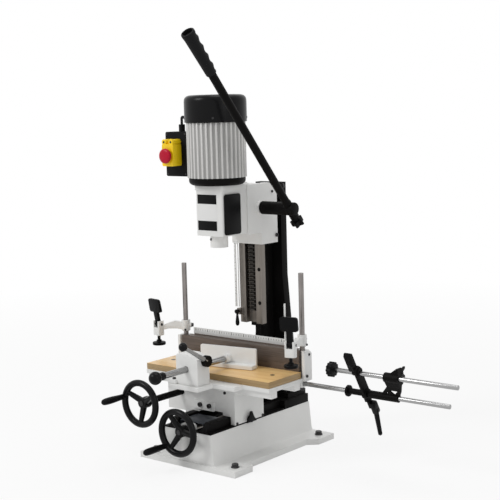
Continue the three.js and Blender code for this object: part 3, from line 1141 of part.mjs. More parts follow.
place('saddle', saddleBody(), 'whitePaint');
place('saddle_lock_lever', saddleLock(), 'blackPlastic');
place('feed_shaft', feedShaft(), 'blackPaint');
place('leadscrew', leadscrewBody(), 'groundSteel');
for (const [name, spec, shaft, x, z] of [['x', wheelX, feed.shaft, feed.x, feed.z],
  ['y', wheelY, screw.radius, 0, screw.z]]) {
  const hand = new THREE.Group();
  hand.position.set(x, spec.rimY, z);
  place(`handwheel_${name}`, handwheel(shaft, spec.spokeAngle, spec.gripAngle), 'blackGloss', hand);
  place(`handwheel_${name}_grip`, gripBody(spec.gripAngle), 'blackPlastic', hand);
  group.add(hand);
}

place('table_casting', tableCasting(), 'whitePaint');
place('table_rack', tableRackBody(), 'groundSteel');
place('wood_top', block(-board.halfWidth, board.halfWidth, board.front, board.rear, board.z,
  board.z + board.thickness), 'wood');
place('fence', fenceBody(), 'fenceSteel');
for (const spec of holdDowns) {
  place(`end_bracket_${spec.side}`, endBracket(spec.sign), 'whitePaint');
  place(`post_${spec.side}`, postBody(spec.sign), 'chrome');
  const armGroup = new THREE.Group();
  armGroup.position.set(spec.sign * post.x, post.y, 0);
  const armMesh = place(`hold_down_arm_${spec.side}`, holdDownArm(spec), 'whitePaint', armGroup);
  armMesh.rotation.z = rad(spec.swing);
  const yoke = new THREE.Group();
  yoke.position.set(arm.reach * Math.cos(rad(spec.swing)), arm.reach * Math.sin(rad(spec.swing)), 0);
  yoke.rotation.z = rad(spec.pinTurn);
  const tip = new THREE.Group();
  tip.position.z = arm.pinZ;
  tip.rotation.x = rad(spec.leverTilt);
  const leverMesh = place(`cam_lever_${spec.side}`, camLever(), 'blackPlastic', tip);
  leverMesh.position.z = -arm.pinZ;
  yoke.add(tip);
  place(`hold_down_foot_${spec.side}`, holdDownFoot(), 'blackPaint', yoke);
  armGroup.add(yoke);
  group.add(armGroup);
}
place('vise_bracket', viseBracket(), 'whitePaint');
place('vise_rod', viseRodBody(), 'chrome');
place('vise_jaw', viseJaw(), 'whitePaint');
place('vise_lock_lever', viseLockBody(), 'blackPlastic');

place('stop_rail', stopRailBody(), 'chrome');
place('stop_collar', stopCollar(), 'blackPaint');
place('stop_slide', stopSlide(), 'blackPaint');
place('stop_rod', stopRodBody(), 'chrome');
place('stop_arm', stopArmBody(), 'blackPaint');
place('stop_handle', stopHandle(), 'blackPlastic');
place('stop_wing_knob', wingKnob(), 'blackPlastic');

place('head_casting', headCasting(), 'whitePaint');
place('chuck_cover', chuckCover(), 'blackPlastic');
place('depth_scale', scaleStrip(), 'chrome');
place('pinion_shaft', pinionShaft(), 'groundSteel');
place('feed_lever', leverHub().add(leverBar()), 'blackPaint');
place('lever_grip', leverGripBody(), 'rubber');
place('lever_knob', leverKnobBody(), 'blackPlastic');
place('motor_flange', motorFlange(), 'blackPaint');
place('motor_body', motorBody(), 'castAluminium');
place('fan_cover', fanCover(), 'blackGloss');
place('motor_spindle', spindleBody().add(motorFan()), 'groundSteel');
place('chuck', chuckBody(), 'zinc');
place('switch_box', switchBox(), 'blackPlastic');
place('switch_housing', switchHousing(), 'yellowPlastic');
place('stop_button', stopButton(), 'redPlastic');
place('motor_lead', motorLead(), 'rubber');

export default group;
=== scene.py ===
"""Dresses the bench mortising machine: finishes, rounded castings, turned parts, screws and studio."""

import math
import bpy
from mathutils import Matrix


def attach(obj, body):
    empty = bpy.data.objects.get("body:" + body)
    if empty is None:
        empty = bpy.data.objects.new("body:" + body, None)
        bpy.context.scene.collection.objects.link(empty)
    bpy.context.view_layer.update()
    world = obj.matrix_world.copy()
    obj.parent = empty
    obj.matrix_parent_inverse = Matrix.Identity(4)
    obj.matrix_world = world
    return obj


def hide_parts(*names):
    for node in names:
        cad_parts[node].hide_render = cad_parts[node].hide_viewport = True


bl_info = {
    "name": "Bench mortising machine",
    "version": (1, 0, 0),
    "blender": (4, 5, 0),
    "location": "3D View > Sidebar > Mortiser",
    "description": "Builds the visible pieces and finishes of a bench mortising machine",
    "category": "Object",
}

import bpy
from mathutils import Matrix, Vector

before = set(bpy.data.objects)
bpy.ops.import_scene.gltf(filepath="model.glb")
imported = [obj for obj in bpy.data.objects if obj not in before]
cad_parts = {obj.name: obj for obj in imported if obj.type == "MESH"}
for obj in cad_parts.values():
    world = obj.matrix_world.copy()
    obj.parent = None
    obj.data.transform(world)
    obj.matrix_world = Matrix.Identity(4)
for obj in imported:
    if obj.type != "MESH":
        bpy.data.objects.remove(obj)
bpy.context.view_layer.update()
MM = 0.001
UP = (0, 0, 1)
BACK = (0, 1, 0)
FRONT = (0, -1, 0)
RIGHT = (1, 0, 0)
WELD = 2e-5
SHARP = math.radians(28)
FLAT = math.radians(0.6)

# Axes and rims of the round pieces, in millimetres
MOTOR = (0, -65.5, 0)
POST_X = 235.4
POST_Y = 29
RAIL = (0, 20, 234)
STOP_ROD = (0, -20, 302)
LEVER_Y = 57
LEVER_Z = 755
WHEEL_X = (-128, -302, 188.2)
WHEEL_Y = (0, -280, 113)
RIM_RADIUS = 63.3
RIM_SECTION = 10

# The camera, fitted to the photograph's frame of 500 x 500 pixels
PHOTO_SIDE = 500
SENSOR = 36
FOCAL_PIXELS = 1183.16
CAMERA_PLACE = (2.33515, -2.7617, 1.07712)
CAMERA_TURN = 39.41
CAMERA_DIP = 7.13
CAMERA_ROLL = 1.54


# Sizes and colours
class MortiserSizes(bpy.types.PropertyGroup):
    """Sizes of the small edges and parts a user may want to change."""

    casting_edge: bpy.props.FloatProperty(
        name="Casting edge", description="Rounding of the cast iron edges", default=0.0026, unit="LENGTH")
    plate_edge: bpy.props.FloatProperty(
        name="Plate edge", description="Rounding of machined and bent plate edges", default=0.0007,
        unit="LENGTH")
    moulded_edge: bpy.props.FloatProperty(
        name="Moulded edge", description="Rounding of the moulded plastic edges", default=0.0018,
        unit="LENGTH")
    round_sides: bpy.props.IntProperty(
        name="Round sides", description="Faces round each turned part", default=64, min=24, max=128)


class MortiserColours(bpy.types.PropertyGroup):
    """Colours of the paints, plastics and wood."""

    white_paint: bpy.props.FloatVectorProperty(
        name="White paint", description="Enamel of the castings", subtype="COLOR", default=(0.8, 0.8, 0.785))
    black_paint: bpy.props.FloatVectorProperty(
        name="Black paint", description="Enamel of the column and ways", subtype="COLOR",
        default=(0.0036, 0.0032, 0.003))
    black_plastic: bpy.props.FloatVectorProperty(
        name="Black plastic", description="Knobs, grips and covers", subtype="COLOR",
        default=(0.0034, 0.0034, 0.0038))
    ground_steel: bpy.props.FloatVectorProperty(
        name="Ground steel", description="Machined ways and rack", subtype="COLOR",
        default=(0.21, 0.19, 0.17))
    fence_steel: bpy.props.FloatVectorProperty(
        name="Fence steel", description="Browned face of the fence", subtype="COLOR",
        default=(0.115, 0.09, 0.075))
    bright_steel: bpy.props.FloatVectorProperty(
        name="Bright bar", description="Rods of the stop and vise", subtype="COLOR",
        default=(0.36, 0.36, 0.36))
    # The posts' brown tone stands in for reflection of dark surroundings: painted reflection, not a browned
    # finish.
    post_steel_painted_reflection: bpy.props.FloatVectorProperty(
        name="Post steel", description="Browned posts", subtype="COLOR", default=(0.26, 0.24, 0.23))
    motor_alloy: bpy.props.FloatVectorProperty(
        name="Motor alloy", description="Painted motor fins", subtype="COLOR", default=(0.62, 0.615, 0.60))
    wood_light: bpy.props.FloatVectorProperty(
        name="Wood, light", description="Light rings of the board", subtype="COLOR",
        default=(0.9, 0.62, 0.27))
    wood_dark: bpy.props.FloatVectorProperty(
        name="Wood, dark", description="Dark rings of the board", subtype="COLOR", default=(0.72, 0.42, 0.15))
    yellow: bpy.props.FloatVectorProperty(
        name="Switch yellow", description="Switch housing", subtype="COLOR", default=(0.95, 0.66, 0.006))
    red: bpy.props.FloatVectorProperty(
        name="Button red", description="Stop button", subtype="COLOR", default=(0.46, 0.004, 0.028))


def sizes():
    return bpy.context.scene.mortiser_sizes


def colours():
    return bpy.context.scene.mortiser_colours


# Finishes
class Wire:
    """A material socket that takes part in ordinary arithmetic."""

    def __init__(self, finish, socket):
        self.finish = finish
        self.socket = socket

    def _sum(self, operation, a, b):
        return self.finish.node("ShaderNodeMath", {"operation": operation}, {0: a, 1: b})

    def __add__(self, other):
        return self._sum("ADD", self, other)

    __radd__ = __add__

    def __sub__(self, other):
        return self._sum("SUBTRACT", self, other)

    def __rsub__(self, other):
        return self._sum("SUBTRACT", other, self)

    def __mul__(self, other):
        return self._sum("MULTIPLY", self, other)

    __rmul__ = __mul__

    def __gt__(self, other):
        return self._sum("GREATER_THAN", self, other)

    def __lt__(self, other):
        return self._sum("LESS_THAN", self, other)

    def fract(self):
        return self.finish.node("ShaderNodeMath", {"operation": "FRACT"}, {0: self})

    def absolute(self):
        return self.finish.node("ShaderNodeMath", {"operation": "ABSOLUTE"}, {0: self})

    def root(self):
        return self.finish.node("ShaderNodeMath", {"operation": "SQRT"}, {0: self})

    def within(self, low, high):
        """0 at low, 1 at high, and held between them."""
        return self.finish.node("ShaderNodeMapRange", {}, {"Value": self, 1: low, 2: high, 3: 0.0, 4: 1.0})


class Finish:
    """One material, built node by node."""

    def __init__(self, name, world=None):
        self.material = world or bpy.data.materials.new(name)
        self.material.use_nodes = True
        self.tree = self.material.node_tree
        self.tree.nodes.clear()
        self.output = self.tree.nodes.new("ShaderNodeOutputWorld" if world else "ShaderNodeOutputMaterial")

    def put(self, socket, value):
        if isinstance(value, Wire):
            self.tree.links.new(value.socket, socket)
        elif socket.type == "RGBA" and len(value) == 3:
            socket.default_value = (*value, 1)
        else:
            socket.default_value = value

    def node(self, kind, settings, values, result=0):
        made = self.tree.nodes.new(kind)
        for key, value in settings.items():
            setattr(made, key, value)
        for key, value in values.items():
            self.put(made.inputs[key], value)
        return Wire(self, made.outputs[result])

    def place(self, scale):
        here = self.node("ShaderNodeTexCoord", {}, {}, "Object")
        return self.node("ShaderNodeMapping", {}, {"Vector": here, "Scale": scale})

    def axes(self):
        here = self.node("ShaderNodeTexCoord", {}, {}, "Object")
        split = self.node("ShaderNodeSeparateXYZ", {}, {"Vector": here})
        outputs = split.socket.node.outputs
        return [Wire(self, outputs[i]) for i in range(3)]

    def seen(self):
        """1 where a camera, glossy or transmission ray meets the background."""
        rays = [self.node("ShaderNodeLightPath", {}, {}, f"Is {kind} Ray")
                for kind in ("Camera", "Glossy", "Transmission")]
        return (rays[0] + rays[1] + rays[2]).within(0.0, 1.0)

    def noise(self, scale, stretch=(1, 1, 1), detail=3.0, rough=0.55):
        return self.node("ShaderNodeTexNoise", {}, {
            "Vector": self.place(stretch), "Scale": scale, "Detail": detail, "Roughness": rough}, "Fac")

    def blend(self, share, a, b):
        return self.node("ShaderNodeMix", {"data_type": "RGBA"}, {0: share, 6: a, 7: b}, 2)

    def bump(self, height, depth, strength=1.0, normal=None):
        values = {"Height": height, "Distance": depth, "Strength": strength}
        if normal is not None:
            values["Normal"] = normal
        return self.node("ShaderNodeBump", {}, values, "Normal")

    def surface(self, **values):
        named = {key.replace("_", " "): value for key, value in values.items()}
        shader = self.node("ShaderNodeBsdfPrincipled", {}, named, "BSDF")
        self.tree.links.new(shader.socket, self.output.inputs["Surface"])
        return self.material


def darker(colour, share):
    return tuple(channel * share for channel in colour)


def enamel(name, colour, gloss, grain, depth, level=0.5):
    """Paint over a casting: slow tone changes, orange peel and a trace of the sand mould."""
    f = Finish(name)
    slow = f.noise(9, detail=4)
    peel = f.noise(grain, detail=2)
    cast = f.noise(70, detail=4)
    tone = f.blend(slow, darker(colour, 0.94), darker(colour, 1.04))
    return f.surface(Base_Color=tone, Roughness=gloss + 0.16 * (slow - 0.5) + 0.1 * (cast - 0.5),
                     Normal=f.bump(peel * 0.6 + cast, depth), Specular_IOR_Level=level)


def moulded(name, colour, gloss, grain=1400, depth=0.00006, coat=0.0, level=0.25):
    """Moulded plastic with a fine even grain."""
    f = Finish(name)
    grainy = f.noise(grain, detail=2)
    slow = f.noise(25)
    tone = f.blend(slow, darker(colour, 0.85), darker(colour, 1.2))
    return f.surface(Base_Color=tone, Roughness=gloss + 0.12 * (slow - 0.5) + 0.08 * (grainy - 0.5),
                     Normal=f.bump(grainy, depth), Coat_Weight=coat, Coat_Roughness=0.1,
                     Specular_IOR_Level=level)


def machined(name, colour, gloss, stretch, metal=1.0, depth=0.00008, spread=0.25, worn=1.0):
    """Ground or drawn steel with tool lines along one way."""
    f = Finish(name)
    lines = f.noise(1, stretch, detail=5, rough=0.7)
    slow = f.noise(14, detail=4)
    share = (lines * 0.7 + slow * 0.3).within(0.32, 0.68)
    tone = f.blend(share, darker(colour, 1 - spread), darker(colour, 1 + spread))
    return f.surface(Base_Color=tone, Metallic=metal, Normal=f.bump(lines, depth),
                     Roughness=gloss + worn * (0.25 * (lines - 0.5) + 0.15 * (slow - 0.5)))


def finned(name, colour):
    """Cast fins with a mottled tone on their crests, and painted shade darkening the grooves between them."""
    f = Finish(name)
    x, y, _ = f.axes()
    away = y - MOTOR[1] * MM
    depth = ((x * x + away * away).root()).within(0.0858, 0.0888)
    cast = f.noise(160, detail=4)
    crest = f.blend(cast, darker(colour, 0.92), darker(colour, 1.14))
    # Painted shade: inside the crest radius, the grooves between the fins take 0.58 of the colour.
    tone = f.blend(depth, darker(colour, 0.58), crest)
    return f.surface(Base_Color=tone, Metallic=0.25, Roughness=0.46 + 0.2 * (cast - 0.5),
                     Normal=f.bump(cast, 0.0001))


def board_wood(name):
    """A sealed light board: growth rings stretched along X, with open pores; its side faces in darker layered
    bands, partly painted shade.
    """
    f = Finish(name)
    warp = f.noise(3, (1, 4, 4), detail=2)
    rings = f.node("ShaderNodeTexNoise", {}, {"Vector": f.place((1.6, 34, 50)), "Scale": 1.7, "Detail": 6.0,
                                              "Roughness": 0.62, "Distortion": 0.5}, "Fac")
    pores = f.noise(1, (60, 1500, 1500), detail=2)
    side = (f.axes()[2] - 0.2612).absolute() > 0.0091
    share = f.node("ShaderNodeMapRange", {}, {"Value": rings + 0.3 * warp, 1: 0.42, 2: 0.9, 3: 0.0, 4: 1.0})
    light = f.blend(share, colours().wood_light, colours().wood_dark)
    # Side faces: the board's layers as bands up the height, darkened to a third to a half of the wood tones
    # as painted shade.
    layers = f.noise(1, (3, 3, 330), detail=3)
    end = f.blend(layers, darker(colours().wood_dark, 0.36), darker(colours().wood_light, 0.5))
    tone = f.blend(side, end, light)
    return f.surface(Base_Color=tone, Roughness=0.38 + 0.2 * (pores - 0.5),
                     Normal=f.bump(pores + rings * 0.5, 0.00012), Coat_Weight=0.25, Coat_Roughness=0.25)


def ruled(name, axis, start, step, long_each, across, edge, short, long, line, inks=(0.02, 0.02, 0.02)):
    """A white scale with printed lines every step along one axis."""
    f = Finish(name)
    parts = f.axes()
    along = (parts[axis] - start) * (1 / step)
    near = (along + 0.5).fract() - 0.5
    thin = near.absolute() < line / step / 2
    tens = (along * (1 / long_each) + 0.5).fract() - 0.5
    main = tens.absolute() < line / step / 2 / long_each * 1.6
    depth = (parts[across] - edge).absolute()
    mark = thin * (depth < short) + main * (depth < long)
    worn = f.noise(120, detail=3)
    paper = f.blend(worn, (0.62, 0.63, 0.62), (0.8, 0.8, 0.79))
    tone = f.blend(f.node("ShaderNodeMath", {"operation": "MINIMUM"}, {0: mark, 1: 1.0}), paper, inks)
    return f.surface(Base_Color=tone, Roughness=0.35 + 0.1 * worn, Metallic=0.1)


MADE = {}


def finish(name):
    """The named finish, made once."""
    if name not in MADE:
        c = colours()
        black = tuple(c.black_plastic)
        recipes = {
            "white_paint": lambda: enamel(name, tuple(c.white_paint), 0.34, 420, 0.0003),
            "black_paint": lambda: enamel(name, tuple(c.black_paint), 0.5, 380, 0.0004, 0.07),
            "black_gloss": lambda: moulded(name, black, 0.3, 300, 0.00003, 0.06, 0.1),
            "black_plastic": lambda: moulded(name, black, 0.4, level=0.09),
            "rubber": lambda: moulded(name, darker(black, 1.6), 0.62, 900, 0.00015, level=0.15),
            "ground_way": lambda: machined(name, tuple(c.ground_steel), 0.42, (420, 420, 7)),
            "ground_cross": lambda: machined(name, tuple(c.ground_steel), 0.4, (9, 420, 420)),
            "fence_steel": lambda: machined(name, tuple(c.fence_steel), 0.5, (9, 260, 260), 0.5, spread=0.4),
            # Posts: the brown tone and the strong lengthwise streaks (spread 0.4) are painted reflection.
            "bright_post": lambda: machined(name, tuple(c.post_steel_painted_reflection), 0.32, (170, 170, 3), depth=0.00003,
                                            spread=0.4),
            "bright_rod": lambda: machined(name, tuple(c.bright_steel), 0.2, (3, 90, 90), depth=0.000002,
                                           spread=0.08, worn=0.15),
            "bright_bar": lambda: machined(name, tuple(c.bright_steel), 0.2, (90, 3, 90), depth=0.000002,
                                           spread=0.08, worn=0.15),
            "rack_steel": lambda: machined(name, (0.06, 0.055, 0.05), 0.45, (200, 200, 9), 0.9),
            "lever_steel": lambda: machined(name, (0.3, 0.3, 0.3), 0.34, (40, 40, 40), 0.9, 0.00001, 0.15),
            "blued_sheet": lambda: machined(name, (0.062, 0.07, 0.085), 0.42, (9, 200, 200), 0.8, 0.00002,
                                            0.3),
            "dark_steel": lambda: machined(name, (0.042, 0.041, 0.042), 0.38, (300, 300, 300), 0.8),
            "motor_alloy": lambda: finned(name, tuple(c.motor_alloy)),
            "oiled_wood": lambda: board_wood(name),
            "yellow_plastic": lambda: moulded(name, tuple(c.yellow), 0.35, level=0.4),
            "red_plastic": lambda: moulded(name, tuple(c.red), 0.3, level=0.2),
            "dial_white": lambda: enamel(name, (0.78, 0.78, 0.77), 0.4, 500, 0.00005),
            "fence_scale": lambda: ruled(name, 0, 0.0, 0.010, 5, 2, 0.3516, 0.0026, 0.0044, 0.0012),
            "depth_scale": lambda: ruled(name, 2, 0.436, 0.005, 4, 0, -0.0542, 0.0035, 0.006, 0.0011,
                                         (0.3, 0.3, 0.3)),
        }
        MADE[name] = recipes[name]()
    return MADE[name]


# Modelling
def rest():
    """Leaves edit mode and selects nothing."""
    if bpy.context.object and bpy.context.object.mode != "OBJECT":
        bpy.ops.object.mode_set(mode="OBJECT")
    bpy.ops.object.select_all(action="DESELECT")


def hold(piece):
    rest()
    bpy.context.view_layer.objects.active = piece
    piece.select_set(True)


def settle(piece):
    """Puts a piece's place into its mesh."""
    hold(piece)
    bpy.ops.object.transform_apply(location=True, rotation=True, scale=True)
    return piece


def apply(piece, kind, **settings):
    hold(piece)
    modifier = piece.modifiers.new(kind.title(), kind)
    for key, value in settings.items():
        setattr(modifier, key, value)
    bpy.ops.object.modifier_apply(modifier=modifier.name)
    return piece


def rounded(piece, width, segments=3, angle=SHARP):
    apply(piece, "BEVEL", width=width, segments=segments, limit_method="ANGLE", angle_limit=angle,
          use_clamp_overlap=True, miter_outer="MITER_ARC")
    return piece


def smooth(piece, angle=SHARP):
    hold(piece)
    bpy.ops.object.shade_smooth_by_angle(angle=angle)
    return piece


def join(first, *others):
    """Welds closed shapes into one by union."""
    for other in others:
        apply(first, "BOOLEAN", object=other, operation="UNION", solver="EXACT")
        bpy.data.objects.remove(other, do_unlink=True)
    return first


def together(first, *others):
    """Keeps separate shapes in one object."""
    rest()
    for other in others:
        other.select_set(True)
    first.select_set(True)
    bpy.context.view_layer.objects.active = first
    bpy.ops.object.join()
    return first


def turned(profile, place=(0, 0, 0), way=UP, sides=None, edge=0.0, segments=3):
    """Raises a turned shape ring by ring; profile holds radius and height pairs in millimetres."""
    rest()
    sides = sides or sizes().round_sides
    r, h = profile[0]
    bpy.ops.mesh.primitive_circle_add(vertices=sides, radius=r * MM, fill_type="NGON",
                                      location=(0, 0, h * MM))
    piece = bpy.context.object
    bpy.ops.object.transform_apply(location=True)
    bpy.ops.object.mode_set(mode="EDIT")
    bpy.ops.mesh.select_all(action="SELECT")
    for r1, h1 in profile[1:]:
        bpy.ops.mesh.extrude_region_move(TRANSFORM_OT_translate={"value": (0, 0, (h1 - h) * MM)})
        bpy.ops.transform.resize(value=(r1 / r, r1 / r, 1), center_override=(0, 0, h1 * MM))
        r, h = r1, h1
    bpy.ops.mesh.select_all(action="SELECT")
    bpy.ops.mesh.normals_make_consistent(inside=False)
    rest()
    if edge:
        rounded(piece, edge * MM, segments, math.radians(24))
    aim(piece, place, way)
    return piece


def aim(piece, place, way):
    """Turns a piece made along Z to lie along way, and moves it to place, in millimetres."""
    piece.rotation_euler = Vector(UP).rotation_difference(Vector(way)).to_euler()
    piece.location = Vector(place) * MM
    return settle(piece)


def ball(radius, place, sides=48):
    rest()
    bpy.ops.mesh.primitive_uv_sphere_add(segments=sides, ring_count=sides // 2, radius=radius * MM,
                                         location=Vector(place) * MM)
    return settle(bpy.context.object)


def brick(low, high, edge=0.0, segments=2):
    rest()
    middle = [(a + b) * MM / 2 for a, b in zip(low, high)]
    bpy.ops.mesh.primitive_cube_add(size=1, location=middle)
    piece = bpy.context.object
    piece.scale = [(b - a) * MM for a, b in zip(low, high)]
    settle(piece)
    if edge:
        rounded(piece, edge * MM, segments)
    return piece


def copied(node, edge=None, segments=3, angle=SHARP):
    """A copy of a solid from the frame, with its flat faces joined and its edges rounded."""
    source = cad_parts[node]
    rest()
    piece = bpy.data.objects.new("copy", source.data.copy())
    bpy.context.scene.collection.objects.link(piece)
    hold(piece)
    bpy.ops.object.mode_set(mode="EDIT")
    bpy.ops.mesh.select_all(action="SELECT")
    bpy.ops.mesh.remove_doubles(threshold=WELD)
    bpy.ops.mesh.dissolve_limited(angle_limit=FLAT)
    rest()
    piece.data.materials.clear()
    for name in ("sharp_face", "sharp_edge", "custom_normal"):
        found = piece.data.attributes.get(name)
        if found:
            piece.data.attributes.remove(found)
    if edge:
        rounded(piece, edge, segments, angle)
    return piece


def fit(piece, name, body, paint, replaces=(), angle=SHARP):
    """Names a finished piece and hands it to the frame."""
    smooth(piece, angle)
    piece.name = name
    piece.data.name = name
    piece.data.materials.clear()
    piece.data.materials.append(finish(paint))
    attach(piece, body)
    if replaces:
        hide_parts(*replaces)
    return piece


def recoat(node, paint):
    """Gives a solid of the frame a finish and leaves its shape."""
    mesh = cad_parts[node].data
    mesh.materials.clear()
    mesh.materials.append(finish(paint))


def dress(node, body, paint, edge, segments=3, angle=SHARP):
    return fit(copied(node, edge, segments, angle), node + "_skin", body, paint, (node,))


def cap_screw(place, way, radius=5.0, height=5.0, socket=0.5):
    """The head of a cap screw, with a chamfer and a socket."""
    head = turned([(radius, 0), (radius, height * 0.9), (radius * 0.9, height),
                   (radius * socket, height), (radius * socket * 0.98, height * 0.35)], sides=24)
    return aim(head, place, way)


def hex_head(place, way, radius, height):
    """A hexagon head with its corners rounded off."""
    head = turned([(radius, 0), (radius, height)], sides=6)
    dome = turned([(radius * 0.92, -0.1), (radius * 1.04, height * 0.55), (radius * 0.82, height + 0.2)],
                  sides=36)
    apply(head, "BOOLEAN", object=dome, operation="INTERSECT", solver="EXACT")
    bpy.data.objects.remove(dome, do_unlink=True)
    return aim(head, place, way)


def polar(middle, radius, degrees):
    """A point in the X-Z plane round middle."""
    angle = math.radians(degrees)
    return (middle[0] + radius * math.cos(angle), middle[1], middle[2] + radius * math.sin(angle))


class Builder(bpy.types.Operator):
    """Common frame of the building operators."""

    bl_options = {"REGISTER", "UNDO"}

    def execute(self, context):
        self.build()
        return {"FINISHED"}


# Base and column
class BuildBase(Builder):
    """Base casting, ways, guard and foot bolts."""

    bl_idname = "mortiser.base"
    bl_label = "Base"

    def build(self):
        s = sizes()
        dress("base_casting", "base", "white_paint", s.casting_edge)
        dress("base_way", "base", "black_paint", s.plate_edge * 1.5)
        dress("leadscrew_guard", "base", "blued_sheet", s.plate_edge * 0.5, 2)
        bolt_x, bolt_y = 158.5, 207.7
        for end, y in (("front", -bolt_y), ("rear", bolt_y)):
            for side, x in (("left", -bolt_x), ("right", bolt_x)):
                washer = turned([(12.4, 18.3), (12.4, 20.9)], (x, y, 0), edge=0.5)
                collar = turned([(11.2, 20.9), (10.2, 22.4)], (x, y, 0))
                head = hex_head((x, y, 22.0), UP, 10.4, 8.0)
                shank = turned([(6, 3), (6, 18.6)], (x, y, 0), sides=32)
                bolt = together(washer, collar, head, shank)
                node = f"foot_bolt_{end}_{side}"
                fit(bolt, node + "_turned", "base", "dark_steel", (node,))


class BuildColumn(Builder):
    """Column, ways, rack and depth lock."""

    bl_idname = "mortiser.column"
    bl_label = "Column"

    def build(self):
        s = sizes()
        dress("column", "base", "black_paint", s.casting_edge)
        dress("column_way", "base", "ground_way", s.plate_edge)
        dress("column_rack", "base", "rack_steel", 0.0003, 2)
        lowest, pitch = 451.5, 106.1
        screws = [cap_screw((35, 79.2, lowest + pitch * i), FRONT, 6, 0.9) for i in range(4)]
        fit(together(*screws), "way_screws", "base", "black_paint")
        washer = turned([(9, 49.8), (9, 51.6)], (0, 190, 812), RIGHT, edge=0.5)
        bolt = join(washer, hex_head((51.2, 190, 812), RIGHT, 7, 5))
        fit(bolt, "column_bolt", "base", "dark_steel")
        tear = turned([(1.6, 375.9), (3.9, 377), (5.6, 380), (6.4, 385), (6.1, 391), (4.9, 400), (3.6, 409),
                       (3.4, 416), (3.8, 421)], (-41, 58.2, 0), sides=40)
        boss = turned([(6.8, 0), (6.8, 9.5)], (-43.5, 55.2, 421), BACK, edge=1.0, sides=40)
        stem = turned([(2.6, 0), (2.6, 13.6)], (-44, 55.1, 421), BACK, sides=24)
        fit(together(tear, boss, stem), "depth_lock_teardrop", "depth_lock", "black_plastic",
            ("depth_lock_handle",))


# Saddle and wheels
class BuildSaddle(Builder):
    """Saddle with its lock lever and screws."""

    bl_idname = "mortiser.saddle"
    bl_label = "Saddle"

    def build(self):
        s = sizes()
        dress("saddle", "saddle", "white_paint", s.casting_edge * 0.8)
        dress("saddle_lock_lever", "saddle_lock", "black_plastic", s.moulded_edge * 0.7)
        heads = [cap_screw((x, -130.5, 162), FRONT, 7.2, 7.0) for x in (-39.7, -2.6)]
        heads += [cap_screw((94, y, 118.4), RIGHT, 4.2, 3.4) for y in (-117.9, 5)]
        heads += [cap_screw((57, -126.5, 209.8), FRONT, 4.5, 4)]
        fit(together(*heads), "saddle_screws", "saddle", "dark_steel")
        recoat("leadscrew", "ground_cross")


class BuildWheels(Builder):
    """Both handwheels with their grips, and the feed shaft."""

    bl_idname = "mortiser.wheels"
    bl_label = "Handwheels"

    def wheel(self, name, middle, first, grip, body):
        s = sizes()
        rest()
        bpy.ops.mesh.primitive_torus_add(major_segments=96, minor_segments=24, major_radius=RIM_RADIUS * MM,
                                         minor_radius=RIM_SECTION * MM)
        rim = aim(bpy.context.object, middle, BACK)
        x, y, z = middle
        hub = turned([(14.5, 5.5), (16.6, 7), (17, 22), (17.4, 27), (17.4, 34)], middle, BACK, edge=1.2)
        rim = join(rim, hub)
        for turn in (0, 120, 240):
            far = Vector(polar((x, y, z), 58, first + turn))
            near = Vector(polar((x, y + 16, z), 10, first + turn))
            reach = (far - near).length
            spoke = turned([(10, 0), (8.8, reach * 0.45), (7.2, reach)], near, far - near, sides=32)
            rim = join(rim, spoke)
        seat = polar(middle, RIM_RADIUS, grip)
        rim = join(rim, turned([(8.6, -10.2), (8.6, 3)], seat, BACK, edge=0.8))
        rounded(rim, 0.001, 2, math.radians(38))
        fit(rim, name + "_cast", body, "black_gloss", (name,), math.radians(40))
        cap = turned([(7.4, 3.6), (7.4, 5.4), (3.4, 5.4), (3.3, 4.4)], middle, BACK, sides=32)
        fit(cap, name + "_nut", body, "dark_steel")
        at = (seat[0], seat[1] - 10.3, seat[2])
        handle = turned([(8.0, 0), (8.5, 2), (8.5, 10), (9.1, 22), (10.0, 38), (10.5, 52), (10.5, 62),
                         (9.9, 75), (8.2, 82.5), (5, 86)], at, FRONT, sides=48)
        fit(handle, name + "_grip_turned", "grip_" + name[-1], "black_plastic",
            (name + "_grip",), math.radians(45))

    def build(self):
        self.wheel("handwheel_x", WHEEL_X, 30, 166, "feed_shaft")
        self.wheel("handwheel_y", WHEEL_Y, 0, 225, "leadscrew")
        x, y, z = WHEEL_X
        shaft = turned([(10, 0), (10, 256)], (x, y + 16, z), BACK, edge=1.0)
        gear = copied("feed_shaft")
        fit(together(shaft, gear), "feed_shaft_turned", "feed_shaft", "black_paint",
            ("feed_shaft",))


# Table
class BuildTable(Builder):
    """Table casting, board, fence, rule, brackets and posts."""

    bl_idname = "mortiser.table"
    bl_label = "Table"

    def build(self):
        s = sizes()
        dress("table_casting", "table", "white_paint", s.casting_edge * 0.7)
        dress("wood_top", "table", "oiled_wood", 0.0009)
        dress("fence", "table", "fence_steel", s.plate_edge)
        dress("end_bracket_left", "table", "white_paint", s.casting_edge)
        dress("end_bracket_right", "table", "white_paint", s.casting_edge)
        recoat("table_rack", "ground_cross")
        rule = brick((-209.6, 36.9, 338), (165.6, 40.5, 357.7), 0.3)
        fit(rule, "fence_rule", "table", "fence_scale")
        for side, x in (("left", -POST_X), ("right", POST_X)):
            bar = turned([(8, 251.6), (8, 568)], (x, POST_Y, 0), edge=1.4)
            node = "post_" + side
            fit(bar, node + "_turned", "table", "bright_post", (node,))
        wells = []
        for x, y in ((-204.9, -68.6), (194.2, -66.6)):
            ring = [(7.4, 270.5), (7.4, 270.95), (6.6, 271.0), (5.4, 270.75), (4.2, 270.72)]
            wells.append(turned(ring, (x, y, 0), sides=32))
        fit(together(*wells), "board_screws", "table", "dark_steel")
        heads = []
        for sign in (-1, 1):
            heads.append(cap_screw((sign * 256, 33.8, 321.8), (sign, 0, 0), 4, 2.2))
            heads.append(cap_screw((sign * 256, 20, 258), (sign, 0, 0), 4.4, 4))
        heads += [cap_screw((200, 7, 230), FRONT, 3, 2.4), cap_screw((240, 20, 221), (0, 0, -1), 5.5, 9)]
        fit(together(*heads), "table_screws", "table", "dark_steel")


